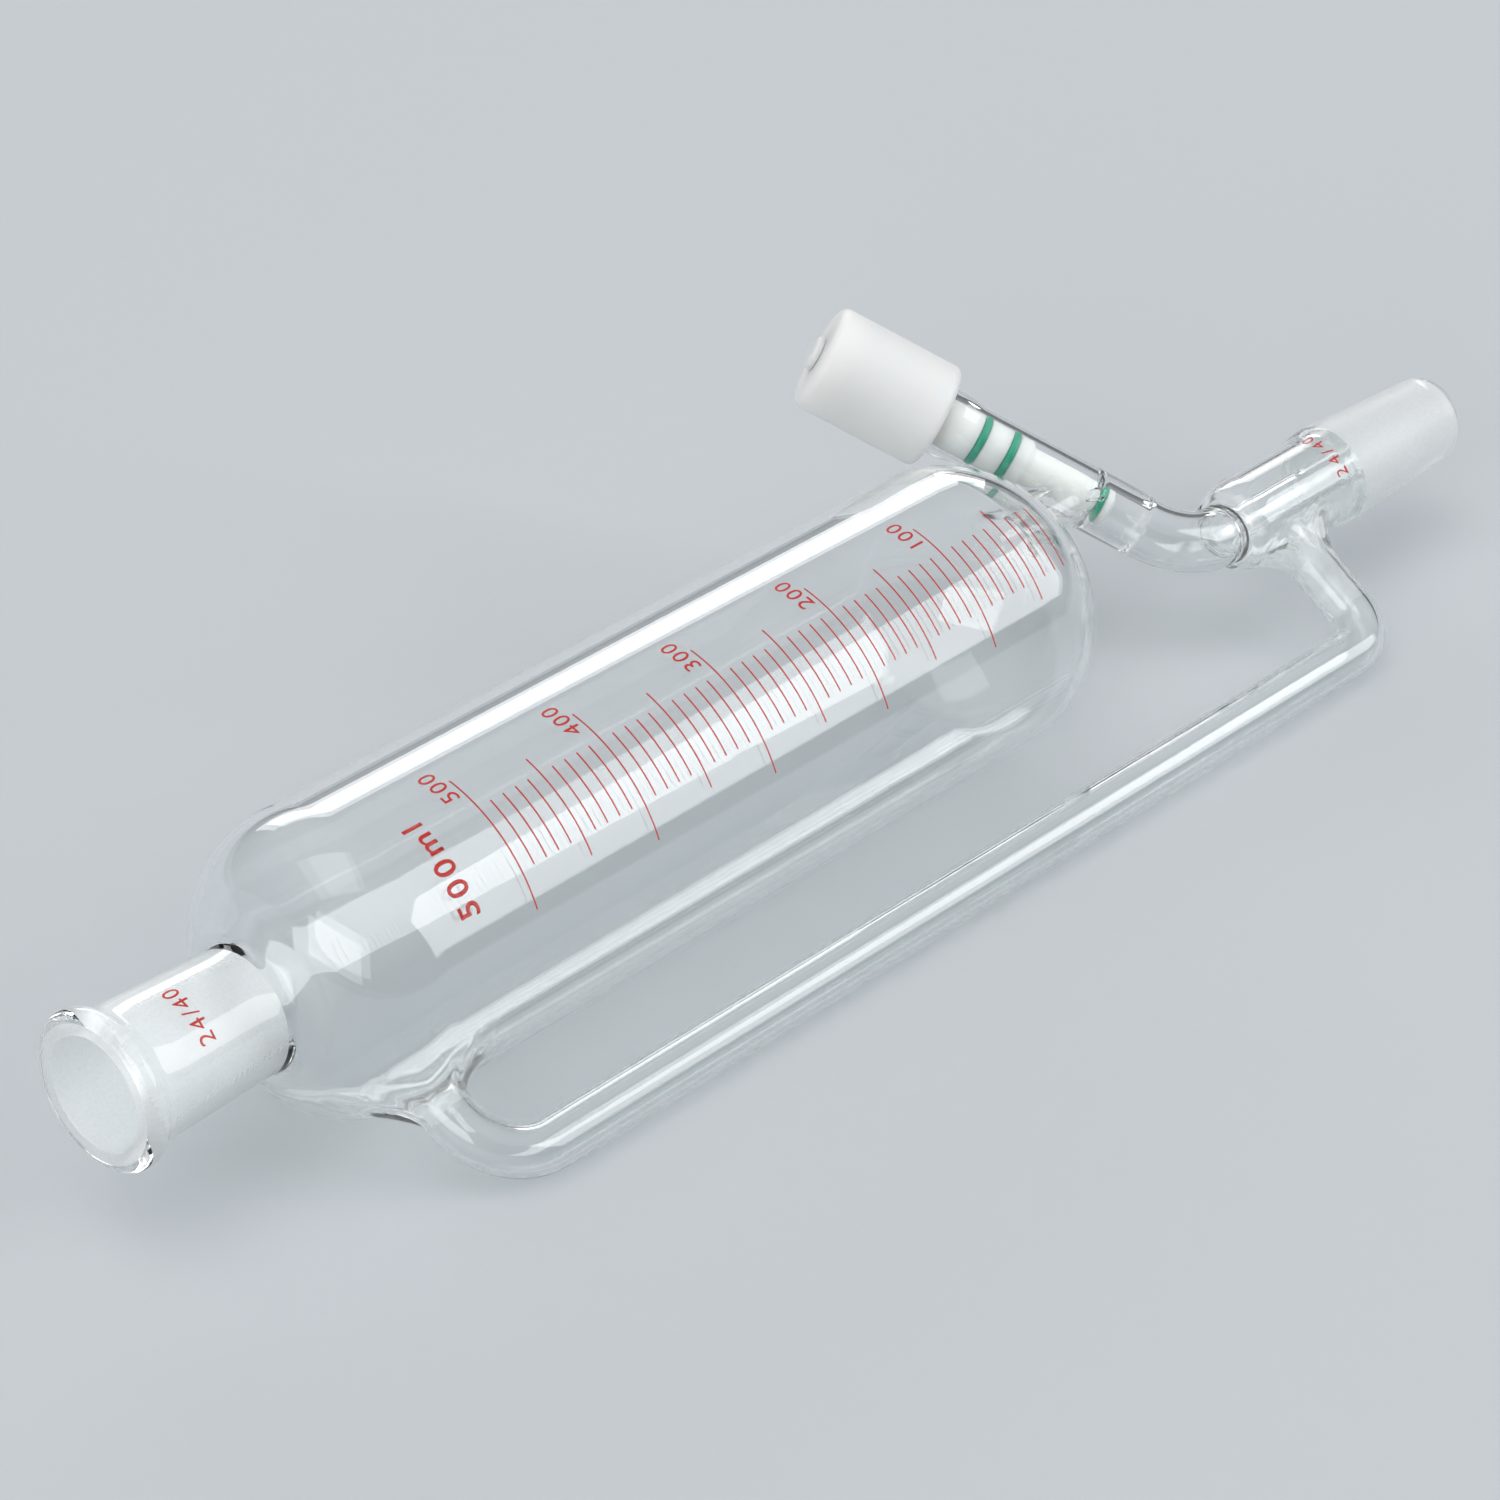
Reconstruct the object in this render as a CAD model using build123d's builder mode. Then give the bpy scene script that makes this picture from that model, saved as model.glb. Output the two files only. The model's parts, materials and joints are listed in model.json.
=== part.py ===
from build123d import *
import os
from math import asin, cos, pi, radians, sin, sqrt, tan

os.makedirs("parts", exist_ok=True)

# ---------------------------------------------------------------- sizes, mm
# Every x below runs along the main axis from the socket's ground mouth.
# Every e below is the distance from the main axis in the plane that holds
# the arm, the vapour chamber and the valve; e is positive on the valve's side.

# fits and clearances
joint_gap = 0.3            # between curved faces that move past each other
seal_gap = 0.05            # O-ring to bore, a running fit
end_gap = 0.3              # between flat faces that move past each other
mouth_step = 1.0           # barrel mouth to the stem's collar when closed
thread_play = 0.1          # added to joint_gap over the barrel's thread
thread_root_sink = 0.3     # how far a thread's foot reaches into its wall

# 24/40 taper joints: 24 mm at the large end, 1 in 10 on diameter, 40 mm long
taper_large_r = 12.0
taper_len = 40.0
taper_slope = 0.05
taper_small_r = taper_large_r - taper_slope * taper_len

# socket
socket_len = 39.0
socket_ease = 0.1
mouth_chamfer = 0.2
mouth_chamfer_len = 0.6
body_wall = 2.5
body_thinning = 1.2
bead_proud = 2.5
bead_round = 2.3
bead_fall = 5.2
socket_bore_r = taper_large_r + socket_ease
socket_mouth_r = socket_bore_r + mouth_chamfer
socket_end_bore_r = socket_bore_r - taper_slope * socket_len
body_r1 = socket_bore_r + body_wall
body_r2 = body_r1 - body_thinning
bead_r = body_r1 + bead_proud
bead_neck_x = bead_round + bead_fall

# reservoir
res_r = 32.5
res_wall = 2.0
shoulder_neck_len = 2.8
shoulder_neck_rise = 0.7
shoulder_len = 21.7
cylinder_len = 184.5
base_len = 29.3
base_power = 1.75
shoulder_neck_r = body_r2 + shoulder_neck_rise
shoulder_x = socket_len + shoulder_neck_len + shoulder_len
base_x = shoulder_x + cylinder_len
base_end_x = base_x + base_len

# valve: d runs outward along its axis from the closed tip O-ring
valve_angle = 58.7         # between the valve's axis and the main axis
tip_step = 24.0            # from the reservoir's base to the tip O-ring
tip_e = 5.9
tip_x = base_end_x + tip_step

# vapour chamber and cone, on an axis of their own beside the main axis
low_off = 14.9
ring_step = 25.2
chamber_r = 10.7
chamber_wall = 1.6
chamber_dome_len = 8.0
chamber_len = 31.5
cone_wall = 2.0
cone_step_len = 5.3
cone_round = 1.1
ring_x = tip_x + ring_step
chamber_end_x = ring_x + chamber_len
cone_start_x = chamber_end_x + cone_step_len
cone_end_x = cone_start_x + taper_len

# outlet bend
bend_bore_r = 5.5
bend_wall = 1.5
bend_radius = 21.5
bend_r = bend_bore_r + bend_wall

# drip tube inside the chamber and the cone
drip_bore_r = 3.1
drip_wall = 1.4
drip_inset = 9.3
ring_wall = 1.8
ring_rise = 0.6
drip_r = drip_bore_r + drip_wall
drip_end_x = cone_end_x - drip_inset
ring_r = bend_r + ring_rise

# pressure-equalising arm
arm_bore_r = 4.2
arm_wall = 1.3
arm_gap = 15.5             # between the reservoir's wall and the arm's run
arm_foot_back = 2.5        # the upper leg meets the shoulder before its end
arm_leg_step = 15.3        # from the ring seal to the lower leg
arm_bend1 = 15.5
arm_bend2 = 9.0
foot_flare = 4.5
foot_depth = 4.0
leg_flare = 3.7
leg_flare_len = 6.0
leg_depth = 5.5
arm_r = arm_bore_r + arm_wall
arm_off = res_r + arm_gap + arm_r
arm_x1 = shoulder_x - arm_foot_back
arm_x2 = ring_x + arm_leg_step

# outlet neck between the reservoir and the barrel
neck_e = 9.2
neck_bore_r = 3.7
neck_wall = 1.5
neck_flare = 3.0
neck_flare_len = 4.5
neck_r = neck_bore_r + neck_wall

# O-rings
cord = 1.8
cord_round = 0.65
ring_low_d = 23.2
ring_pitch = 7.3
tip_cord = 1.5
tip_cord_round = 0.55
groove_side = 0.1
ring_high_d = ring_low_d + ring_pitch

# barrel
barrel_bore_r = 5.9
barrel_wall = 1.35
seat_bore_r = 4.15
seat_lip_d = 1.3
seat_len = 2.1
barrel_low_len = 9.5
flare_after_ring = 1.5
flare_len = 6.5
flare_rise = 0.75
plain_len = 3.0
thread_len = 13.0
mouth_len = 2.5
thread_pitch = 3.0
thread_height = 0.9
thread_root_w = 1.3
thread_crest_w = 0.7
barrel_r = barrel_bore_r + barrel_wall
seat_top_d = seat_lip_d + seat_len
barrel_low_d = -barrel_low_len
flare_d1 = ring_high_d + flare_after_ring
flare_d2 = flare_d1 + flare_len
thread_root_r = barrel_r + flare_rise
thread_d1 = flare_d2 + plain_len
thread_d2 = thread_d1 + thread_len
barrel_mouth_d = thread_d2 + mouth_len

# stem
valve_travel = 6.0
rod_drop = 1.3
neck_drop = 0.6
nose_len = 3.0
nose_round = 0.8
nose_land_len = 3.6
rod_chamfer = 0.8
land_chamfer = 1.2
land_before_ring = 5.2
land_after_ring = 3.1
collar_rise = 1.5
collar_len = 6.0
spindle_r = 3.0
stem_land_r = barrel_bore_r - joint_gap
stem_rod_r = stem_land_r - rod_drop
stem_neck_r = stem_land_r - neck_drop
stem_nose_r = seat_bore_r - joint_gap
nose_d = -nose_len
rod_start_d = nose_land_len
land_start_d = ring_low_d - land_before_ring
land_end_d = ring_high_d + land_after_ring
collar_r = barrel_bore_r + collar_rise
collar_d1 = barrel_mouth_d + mouth_step
collar_d2 = collar_d1 + collar_len

# knob
knob_wall = 2.9
knob_after_flare = 2.1
knob_top = 6.7
knob_round = 2.0
knob_bore_r = thread_root_r + thread_height + joint_gap + thread_play
knob_r = knob_bore_r + knob_wall
knob_d1 = flare_d2 + knob_after_flare
knob_cavity_d = collar_d2 + end_gap
knob_d2 = knob_cavity_d + knob_top

# retaining button
button_rise = 0.9
button_len = 1.5
button_round = 0.7
peg_r = 1.5
peg_len = 5.0
button_r = spindle_r + button_rise

# ------------------------------------------------------------ shared frames
# The funnel lies on its reservoir and its arm, so the shared plane is tilted
# until both touch the floor.
tilt = asin((res_r - arm_r) / arm_off)
ct = cos(tilt)
st = sin(tilt)
cb = cos(radians(valve_angle))
sb = sin(radians(valve_angle))

knob_far_y = (tip_e + sb * (knob_d2 - knob_round)) * ct
knob_span_y = (knob_r - knob_round) * sqrt(1.0 - (sb * ct) ** 2) + knob_round
y_max = knob_far_y + knob_span_y
y_min = -arm_off * ct - arm_r
x_mid = cone_end_x / 2.0
y_mid = (y_max + y_min) / 2.0

main = Plane(origin=(-x_mid, -y_mid, res_r), x_dir=(1, 0, 0), z_dir=(0, -st, ct))
main_axis = Axis(main.origin, (1, 0, 0))
low_axis = Axis(main.from_local_coords((0, -low_off, 0)), (1, 0, 0))
leg_up = (0, ct, st)
out = (-cb, sb * ct, sb * st)
tip = main.from_local_coords((tip_x, tip_e, 0))
valve = Plane(origin=tip, x_dir=out, z_dir=(0, -st, ct))
valve_axis = Axis(tip, out)


def cross_plane(x, e):
    """Plane square to the main axis at station x, height e."""
    return Plane(origin=main.from_local_coords((x, e, 0)), x_dir=leg_up, z_dir=(1, 0, 0))


def leg_plane(x, e):
    """Plane square to the arm's legs."""
    return Plane(origin=main.from_local_coords((x, e, 0)), x_dir=(1, 0, 0), z_dir=leg_up)


def base_curve(length, radius, steps=14):
    """Points of the reservoir's base from its rim to its pole."""
    pts = []
    for i in range(steps + 1):
        t = (pi / 2) * i / steps
        x = length * sin(t) ** (2 / base_power)
        r = radius * max(cos(t), 0.0) ** (2 / base_power)
        pts.append((base_x + x, r if i < steps else 0.0))
    return pts


# ------------------------------------------------- solid blanks for cutting
with BuildPart() as reservoir_blank:
    with BuildSketch(main):
        with BuildLine():
            Line((socket_len, 0), (socket_len, body_r2))
            Line((socket_len, body_r2), (shoulder_x - shoulder_len, shoulder_neck_r))
            EllipticalCenterArc(
                (shoulder_x, shoulder_neck_r),
                shoulder_len,
                res_r - shoulder_neck_r,
                start_angle=90,
                arc_size=90,
            )
            Line((shoulder_x, res_r), (base_x, res_r))
            Spline(*base_curve(base_len, res_r), tangents=[(1, 0), (0, -1)])
            Line((base_end_x, 0), (socket_len, 0))
        make_face()
    revolve(axis=main_axis)

with BuildPart() as barrel_blank:
    with BuildSketch(valve):
        Polygon(
            (barrel_low_d, 0),
            (barrel_low_d, barrel_r),
            (flare_d1, barrel_r),
            (flare_d1, 0),
            align=None,
        )
    revolve(axis=valve_axis)

with BuildPart() as chamber_blank:
    with BuildSketch(main):
        with BuildLine():
            Line((ring_x, -low_off), (ring_x, ring_r - low_off))
            Spline(
                (ring_x, ring_r - low_off),
                (ring_x + chamber_dome_len, chamber_r - low_off),
                tangents=[(0.5, 1), (1, 0)],
            )
            Line((ring_x + chamber_dome_len, chamber_r - low_off), (chamber_end_x, chamber_r - low_off))
            Line((chamber_end_x, chamber_r - low_off), (chamber_end_x, -low_off))
            Line((chamber_end_x, -low_off), (ring_x, -low_off))
        make_face()
    revolve(axis=low_axis)

# ------------------------------------------------------------- glass pieces
with BuildPart() as socket_joint:
    with BuildSketch(main):
        with BuildLine():
            Line((0, socket_mouth_r), (0, bead_r - bead_round))
            ThreePointArc(
                (0, bead_r - bead_round),
                (bead_round * (1 - sqrt(0.5)), bead_r - bead_round * (1 - sqrt(0.5))),
                (bead_round, bead_r),
            )
            Spline(
                (bead_round, bead_r),
                (bead_neck_x, body_r1),
                tangents=[(1, 0), (1, -0.1)],
            )
            Line((bead_neck_x, body_r1), (socket_len, body_r2))
            Line((socket_len, body_r2), (socket_len, socket_end_bore_r))
            Line((socket_len, socket_end_bore_r), (mouth_chamfer_len, socket_bore_r))
            Line((mouth_chamfer_len, socket_bore_r), (0, socket_mouth_r))
        make_face()
    revolve(axis=main_axis)
socket_joint.part.label = "socket_joint"
export_step(socket_joint.part, "parts/socket_joint.step")

with BuildPart() as reservoir:
    add(reservoir_blank.part)
    with BuildSketch(main):
        with BuildLine():
            Line((socket_len, 0), (socket_len, socket_end_bore_r))
            Line(
                (socket_len, socket_end_bore_r),
                (shoulder_x - shoulder_len + res_wall, socket_end_bore_r),
            )
            EllipticalCenterArc(
                (shoulder_x, socket_end_bore_r),
                shoulder_len - res_wall,
                res_r - res_wall - socket_end_bore_r,
                start_angle=90,
                arc_size=90,
            )
            Line((shoulder_x, res_r - res_wall), (base_x, res_r - res_wall))
            Spline(
                *base_curve(base_len - res_wall, res_r - res_wall), tangents=[(1, 0), (0, -1)]
            )
            Line((base_end_x - res_wall, 0), (socket_len, 0))
        make_face()
    revolve(axis=main_axis, mode=Mode.SUBTRACT)
    with BuildSketch(leg_plane(arm_x1, -res_r - arm_r)):
        Circle(arm_bore_r)
    extrude(amount=res_r, mode=Mode.SUBTRACT)
    with BuildSketch(cross_plane(base_x + base_len / 2, neck_e)):
        Circle(neck_bore_r)
    extrude(amount=base_len, mode=Mode.SUBTRACT)
reservoir.part.label = "reservoir"
export_step(reservoir.part, "parts/reservoir.step")

neck_end_x = tip_x - (neck_e - tip_e) / tan(radians(valve_angle))
with BuildPart() as outlet_neck:
    with BuildSketch(cross_plane(base_x + base_len / 2, neck_e)):
        Circle(neck_r)
    extrude(amount=neck_end_x - base_x - base_len / 2)
    neck_face_x = base_end_x - res_wall
    with BuildSketch(cross_plane(neck_face_x - neck_flare_len, neck_e)):
        Circle(neck_r + neck_flare)
    with BuildSketch(cross_plane(neck_face_x + neck_flare_len, neck_e)):
        Circle(neck_r)
    loft()
    add(reservoir_blank.part, mode=Mode.SUBTRACT)
    add(barrel_blank.part, mode=Mode.SUBTRACT)
    with BuildSketch(cross_plane(base_x, neck_e)):
        Circle(neck_bore_r)
    extrude(amount=2 * base_len, mode=Mode.SUBTRACT)
outlet_neck.part.label = "outlet_neck"
export_step(outlet_neck.part, "parts/outlet_neck.step")

with BuildPart() as valve_barrel:
    with BuildSketch(valve):
        with BuildLine():
            Line((barrel_low_d, seat_bore_r), (barrel_low_d, barrel_r))
            Line((barrel_low_d, barrel_r), (flare_d1, barrel_r))
            Spline(
                (flare_d1, barrel_r),
                (flare_d2, thread_root_r),
                tangents=[(1, 0), (1, 0)],
            )
            Line((flare_d2, thread_root_r), (barrel_mouth_d, thread_root_r))
            Line((barrel_mouth_d, thread_root_r), (barrel_mouth_d, barrel_bore_r))
            Line((barrel_mouth_d, barrel_bore_r), (seat_top_d, barrel_bore_r))
            Line((seat_top_d, barrel_bore_r), (seat_lip_d, seat_bore_r))
            Line((seat_lip_d, seat_bore_r), (barrel_low_d, seat_bore_r))
        make_face()
    revolve(axis=valve_axis)
    with BuildSketch(cross_plane(base_x, neck_e)):
        Circle(neck_bore_r)
    extrude(amount=neck_end_x - base_x, mode=Mode.SUBTRACT)
    with BuildLine():
        barrel_helix = Helix(
            pitch=thread_pitch,
            height=thread_d2 - thread_d1,
            radius=thread_root_r,
            center=valve.from_local_coords((thread_d1, 0, 0)),
            direction=out,
        )
    with BuildSketch(Plane(barrel_helix @ 0, x_dir=out, z_dir=barrel_helix % 0)):
        Polygon(
            (-thread_root_w / 2, -thread_root_sink),
            (thread_root_w / 2, -thread_root_sink),
            (thread_crest_w / 2, thread_height),
            (-thread_crest_w / 2, thread_height),
            align=None,
        )
    sweep(path=barrel_helix, is_frenet=True)
valve_barrel.part.label = "valve_barrel"
export_step(valve_barrel.part, "parts/valve_barrel.step")

bend_start_d = barrel_low_d
bend_turn = radians(valve_angle)
corner_d = -(tip_e + low_off) / sb
corner_x = tip_x - cb * corner_d
bend_tangent = bend_radius * tan(bend_turn / 2)
bend_in = (corner_x - cb * bend_tangent, -low_off + sb * bend_tangent)
bend_mid_x = corner_x + bend_tangent - bend_radius * sin(bend_turn / 2)
bend_mid_e = -low_off + bend_radius * (1 - cos(bend_turn / 2))
bend_top = (tip_x - cb * bend_start_d, tip_e + sb * bend_start_d)
with BuildPart() as outlet_bend:
    with BuildLine(main) as bend_path:
        Line(bend_top, bend_in)
        ThreePointArc(bend_in, (bend_mid_x, bend_mid_e), (corner_x + bend_tangent, -low_off))
        Line((corner_x + bend_tangent, -low_off), (ring_x, -low_off))
    with BuildSketch(Plane(tip + Vector(out) * bend_start_d, x_dir=main.z_dir, z_dir=-Vector(out))):
        Circle(bend_r)
        Circle(bend_bore_r, mode=Mode.SUBTRACT)
    sweep(path=bend_path.wires()[0])
outlet_bend.part.label = "outlet_bend"
export_step(outlet_bend.part, "parts/outlet_bend.step")

with BuildPart() as drip_tube:
    with BuildSketch(cross_plane(ring_x + ring_wall, -low_off)):
        Circle(drip_r)
        Circle(drip_bore_r, mode=Mode.SUBTRACT)
    extrude(amount=drip_end_x - ring_x - ring_wall)
drip_tube.part.label = "drip_tube"
export_step(drip_tube.part, "parts/drip_tube.step")

chamber_bore_r = chamber_r - chamber_wall
dome_end_x = ring_x + chamber_dome_len
with BuildPart() as vapour_chamber:
    add(chamber_blank.part)
    with BuildSketch(main):
        with BuildLine():
            Line((ring_x + ring_wall, -low_off), (ring_x + ring_wall, ring_r - chamber_wall - low_off))
            Spline(
                (ring_x + ring_wall, ring_r - chamber_wall - low_off),
                (dome_end_x, chamber_bore_r - low_off),
                tangents=[(0.5, 1), (1, 0)],
            )
            Line((dome_end_x, chamber_bore_r - low_off), (chamber_end_x, chamber_bore_r - low_off))
            Line((chamber_end_x, chamber_bore_r - low_off), (chamber_end_x, -low_off))
            Line((chamber_end_x, -low_off), (ring_x + ring_wall, -low_off))
        make_face()
    revolve(axis=low_axis, mode=Mode.SUBTRACT)
    with BuildSketch(cross_plane(ring_x - ring_wall, -low_off)):
        Circle(drip_bore_r)
    extrude(amount=4 * ring_wall, mode=Mode.SUBTRACT)
    with BuildSketch(leg_plane(arm_x2, -low_off - 2 * chamber_r)):
        Circle(arm_bore_r)
    extrude(amount=2 * chamber_r, mode=Mode.SUBTRACT)
vapour_chamber.part.label = "vapour_chamber"
export_step(vapour_chamber.part, "parts/vapour_chamber.step")

with BuildPart() as cone_joint:
    with BuildSketch(main):
        with BuildLine():
            Spline(
                (chamber_end_x, chamber_r - low_off),
                (cone_start_x, taper_large_r - low_off),
                tangents=[(1, 0), (1, -taper_slope)],
            )
            Line((cone_start_x, taper_large_r - low_off), (cone_end_x - cone_round, taper_small_r - low_off))
            ThreePointArc(
                (cone_end_x - cone_round, taper_small_r - low_off),
                (cone_end_x, taper_small_r - cone_wall / 2 - low_off),
                (cone_end_x - cone_round, taper_small_r - cone_wall - low_off),
            )
            Line(
                (cone_end_x - cone_round, taper_small_r - cone_wall - low_off),
                (cone_start_x, taper_large_r - cone_wall - low_off),
            )
            Spline(
                (cone_start_x, taper_large_r - cone_wall - low_off),
                (chamber_end_x, chamber_bore_r - low_off),
                tangents=[(-1, taper_slope), (-1, 0)],
            )
            Line((chamber_end_x, chamber_bore_r - low_off), (chamber_end_x, chamber_r - low_off))
        make_face()
    revolve(axis=low_axis)
cone_joint.part.label = "cone_joint"
export_step(cone_joint.part, "parts/cone_joint.step")

foot_e = -res_r + foot_depth
leg_e = -low_off - chamber_r + leg_depth
leg_flare_e = -low_off - chamber_r - leg_flare_len
bend1_e = -arm_off + arm_bend1
bend2_e = -arm_off + arm_bend2
bend1_axis = Axis(main.from_local_coords((arm_x1 + arm_bend1, bend1_e, 0)), main.z_dir)
bend2_axis = Axis(main.from_local_coords((arm_x2 - arm_bend2, bend2_e, 0)), main.z_dir)
with BuildPart() as equalising_arm:
    with BuildSketch(leg_plane(arm_x1, bend1_e)):
        Circle(arm_r)
        Circle(arm_bore_r, mode=Mode.SUBTRACT)
    revolve(axis=bend1_axis, revolution_arc=90)
    with BuildSketch(cross_plane(arm_x1 + arm_bend1, -arm_off)):
        Circle(arm_r)
        Circle(arm_bore_r, mode=Mode.SUBTRACT)
    extrude(amount=arm_x2 - arm_bend2 - arm_x1 - arm_bend1)
    with BuildSketch(cross_plane(arm_x2 - arm_bend2, -arm_off)):
        Circle(arm_r)
        Circle(arm_bore_r, mode=Mode.SUBTRACT)
    revolve(axis=bend2_axis, revolution_arc=90)
    with BuildSketch(leg_plane(arm_x2, bend2_e)):
        Circle(arm_r)
        Circle(arm_bore_r, mode=Mode.SUBTRACT)
    extrude(amount=leg_flare_e - bend2_e)
    with BuildSketch(leg_plane(arm_x1, bend1_e)):
        Circle(arm_r)
    with BuildSketch(leg_plane(arm_x1, foot_e)):
        Circle(arm_r + foot_flare)
    loft()
    with BuildSketch(leg_plane(arm_x2, leg_flare_e)):
        Circle(arm_r)
    with BuildSketch(leg_plane(arm_x2, leg_e)):
        Circle(arm_r + leg_flare)
    loft()
    with BuildSketch(leg_plane(arm_x1, bend1_e)):
        Circle(arm_bore_r)
    extrude(amount=foot_e - bend1_e, mode=Mode.SUBTRACT)
    with BuildSketch(leg_plane(arm_x2, leg_flare_e)):
        Circle(arm_bore_r)
    extrude(amount=leg_e - leg_flare_e, mode=Mode.SUBTRACT)
    add(reservoir_blank.part, mode=Mode.SUBTRACT)
    add(chamber_blank.part, mode=Mode.SUBTRACT)
equalising_arm.part.label = "equalising_arm"
export_step(equalising_arm.part, "parts/equalising_arm.step")

# ------------------------------------------------------------------- valve
tip_groove_r = stem_nose_r + joint_gap - seal_gap - tip_cord
groove_r = barrel_bore_r - seal_gap - cord
with BuildPart() as valve_stem:
    with BuildSketch(valve):
        Polygon(
            (nose_d, 0),
            (nose_d, stem_nose_r - nose_round),
            (nose_d + nose_round, stem_nose_r),
            (-tip_cord / 2 - groove_side, stem_nose_r),
            (-tip_cord / 2 - groove_side, tip_groove_r),
            (tip_cord / 2 + groove_side, tip_groove_r),
            (tip_cord / 2 + groove_side, stem_nose_r),
            (rod_start_d, stem_nose_r),
            (rod_start_d + rod_chamfer, stem_rod_r),
            (land_start_d, stem_rod_r),
            (land_start_d + land_chamfer, stem_land_r),
            (ring_low_d - cord / 2 - groove_side, stem_land_r),
            (ring_low_d - cord / 2 - groove_side, groove_r),
            (ring_low_d + cord / 2 + groove_side, groove_r),
            (ring_low_d + cord / 2 + groove_side, stem_land_r),
            (ring_high_d - cord / 2 - groove_side, stem_land_r),
            (ring_high_d - cord / 2 - groove_side, groove_r),
            (ring_high_d + cord / 2 + groove_side, groove_r),
            (ring_high_d + cord / 2 + groove_side, stem_land_r),
            (land_end_d, stem_land_r),
            (land_end_d, stem_neck_r),
            (collar_d1, stem_neck_r),
            (collar_d1, collar_r),
            (collar_d2, collar_r),
            (collar_d2, spindle_r),
            (knob_d2 + end_gap, spindle_r),
            (knob_d2 + end_gap, peg_r),
            (knob_d2 + end_gap - peg_len, peg_r),
            (knob_d2 + end_gap - peg_len, 0),
            align=None,
        )
    revolve(axis=valve_axis)
valve_stem.part.label = "valve_stem"
export_step(valve_stem.part, "parts/valve_stem.step")

with BuildPart() as seat_oring:
    with BuildSketch(valve):
        with Locations((0, tip_groove_r + tip_cord / 2)):
            RectangleRounded(tip_cord, tip_cord, tip_cord_round)
    revolve(axis=valve_axis)
seat_oring.part.label = "seat_oring"
export_step(seat_oring.part, "parts/seat_oring.step")

with BuildPart() as barrel_oring_low:
    with BuildSketch(valve):
        with Locations((ring_low_d, groove_r + cord / 2)):
            RectangleRounded(cord, cord, cord_round)
    revolve(axis=valve_axis)
barrel_oring_low.part.label = "barrel_oring_low"
export_step(barrel_oring_low.part, "parts/barrel_oring_low.step")

with BuildPart() as barrel_oring_high:
    with BuildSketch(valve):
        with Locations((ring_high_d, groove_r + cord / 2)):
            RectangleRounded(cord, cord, cord_round)
    revolve(axis=valve_axis)
barrel_oring_high.part.label = "barrel_oring_high"
export_step(barrel_oring_high.part, "parts/barrel_oring_high.step")

with BuildPart() as stem_button:
    with BuildSketch(valve):
        with BuildLine():
            Line((knob_d2 + end_gap - peg_len, 0), (knob_d2 + end_gap - peg_len, peg_r))
            Line((knob_d2 + end_gap - peg_len, peg_r), (knob_d2 + end_gap, peg_r))
            Line((knob_d2 + end_gap, peg_r), (knob_d2 + end_gap, button_r))
            Line(
                (knob_d2 + end_gap, button_r),
                (knob_d2 + end_gap + button_len - button_round, button_r),
            )
            ThreePointArc(
                (knob_d2 + end_gap + button_len - button_round, button_r),
                (
                    knob_d2 + end_gap + button_len - button_round * (1 - sqrt(0.5)),
                    button_r - button_round * (1 - sqrt(0.5)),
                ),
                (knob_d2 + end_gap + button_len, button_r - button_round),
            )
            Line(
                (knob_d2 + end_gap + button_len, button_r - button_round),
                (knob_d2 + end_gap + button_len, 0),
            )
            Line(
                (knob_d2 + end_gap + button_len, 0),
                (knob_d2 + end_gap - peg_len, 0),
            )
        make_face()
    revolve(axis=valve_axis)
stem_button.part.label = "stem_button"
export_step(stem_button.part, "parts/stem_button.step")

spindle_hole_r = spindle_r + joint_gap
with BuildPart() as valve_knob:
    with BuildSketch(Plane(valve.from_local_coords((knob_d1, 0, 0)), x_dir=main.z_dir, z_dir=out)):
        Circle(knob_r)
    extrude(amount=knob_d2 - knob_d1)
    fillet(valve_knob.edges().filter_by(GeomType.CIRCLE), knob_round)
    with BuildSketch(Plane(valve.from_local_coords((knob_d1, 0, 0)), x_dir=main.z_dir, z_dir=out)):
        Circle(knob_bore_r)
    extrude(amount=knob_cavity_d - knob_d1, mode=Mode.SUBTRACT)
    with BuildSketch(Plane(valve.from_local_coords((knob_cavity_d, 0, 0)), x_dir=main.z_dir, z_dir=out)):
        Circle(spindle_hole_r)
    extrude(amount=knob_d2 - knob_cavity_d, mode=Mode.SUBTRACT)
    with BuildLine():
        knob_helix = Helix(
            pitch=thread_pitch,
            height=barrel_mouth_d - thread_d1 - valve_travel,
            radius=knob_bore_r,
            center=valve.from_local_coords((thread_d1 + 1.5 * thread_pitch, 0, 0)),
            direction=out,
        )
    with BuildSketch(Plane(knob_helix @ 0, x_dir=out, z_dir=knob_helix % 0)):
        Polygon(
            (-thread_root_w / 2, thread_root_sink),
            (thread_root_w / 2, thread_root_sink),
            (thread_crest_w / 2, -thread_height),
            (-thread_crest_w / 2, -thread_height),
            align=None,
        )
    sweep(path=knob_helix, is_frenet=True)
valve_knob.part.label = "valve_knob"
export_step(valve_knob.part, "parts/valve_knob.step")
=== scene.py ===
import json
from math import atan2, cos, pi, radians, sin, tan

import bmesh
import bpy
import numpy as np
from bpy.props import FloatProperty, FloatVectorProperty, PointerProperty
from mathutils import Matrix, Vector
from mathutils.bvhtree import BVHTree


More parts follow.
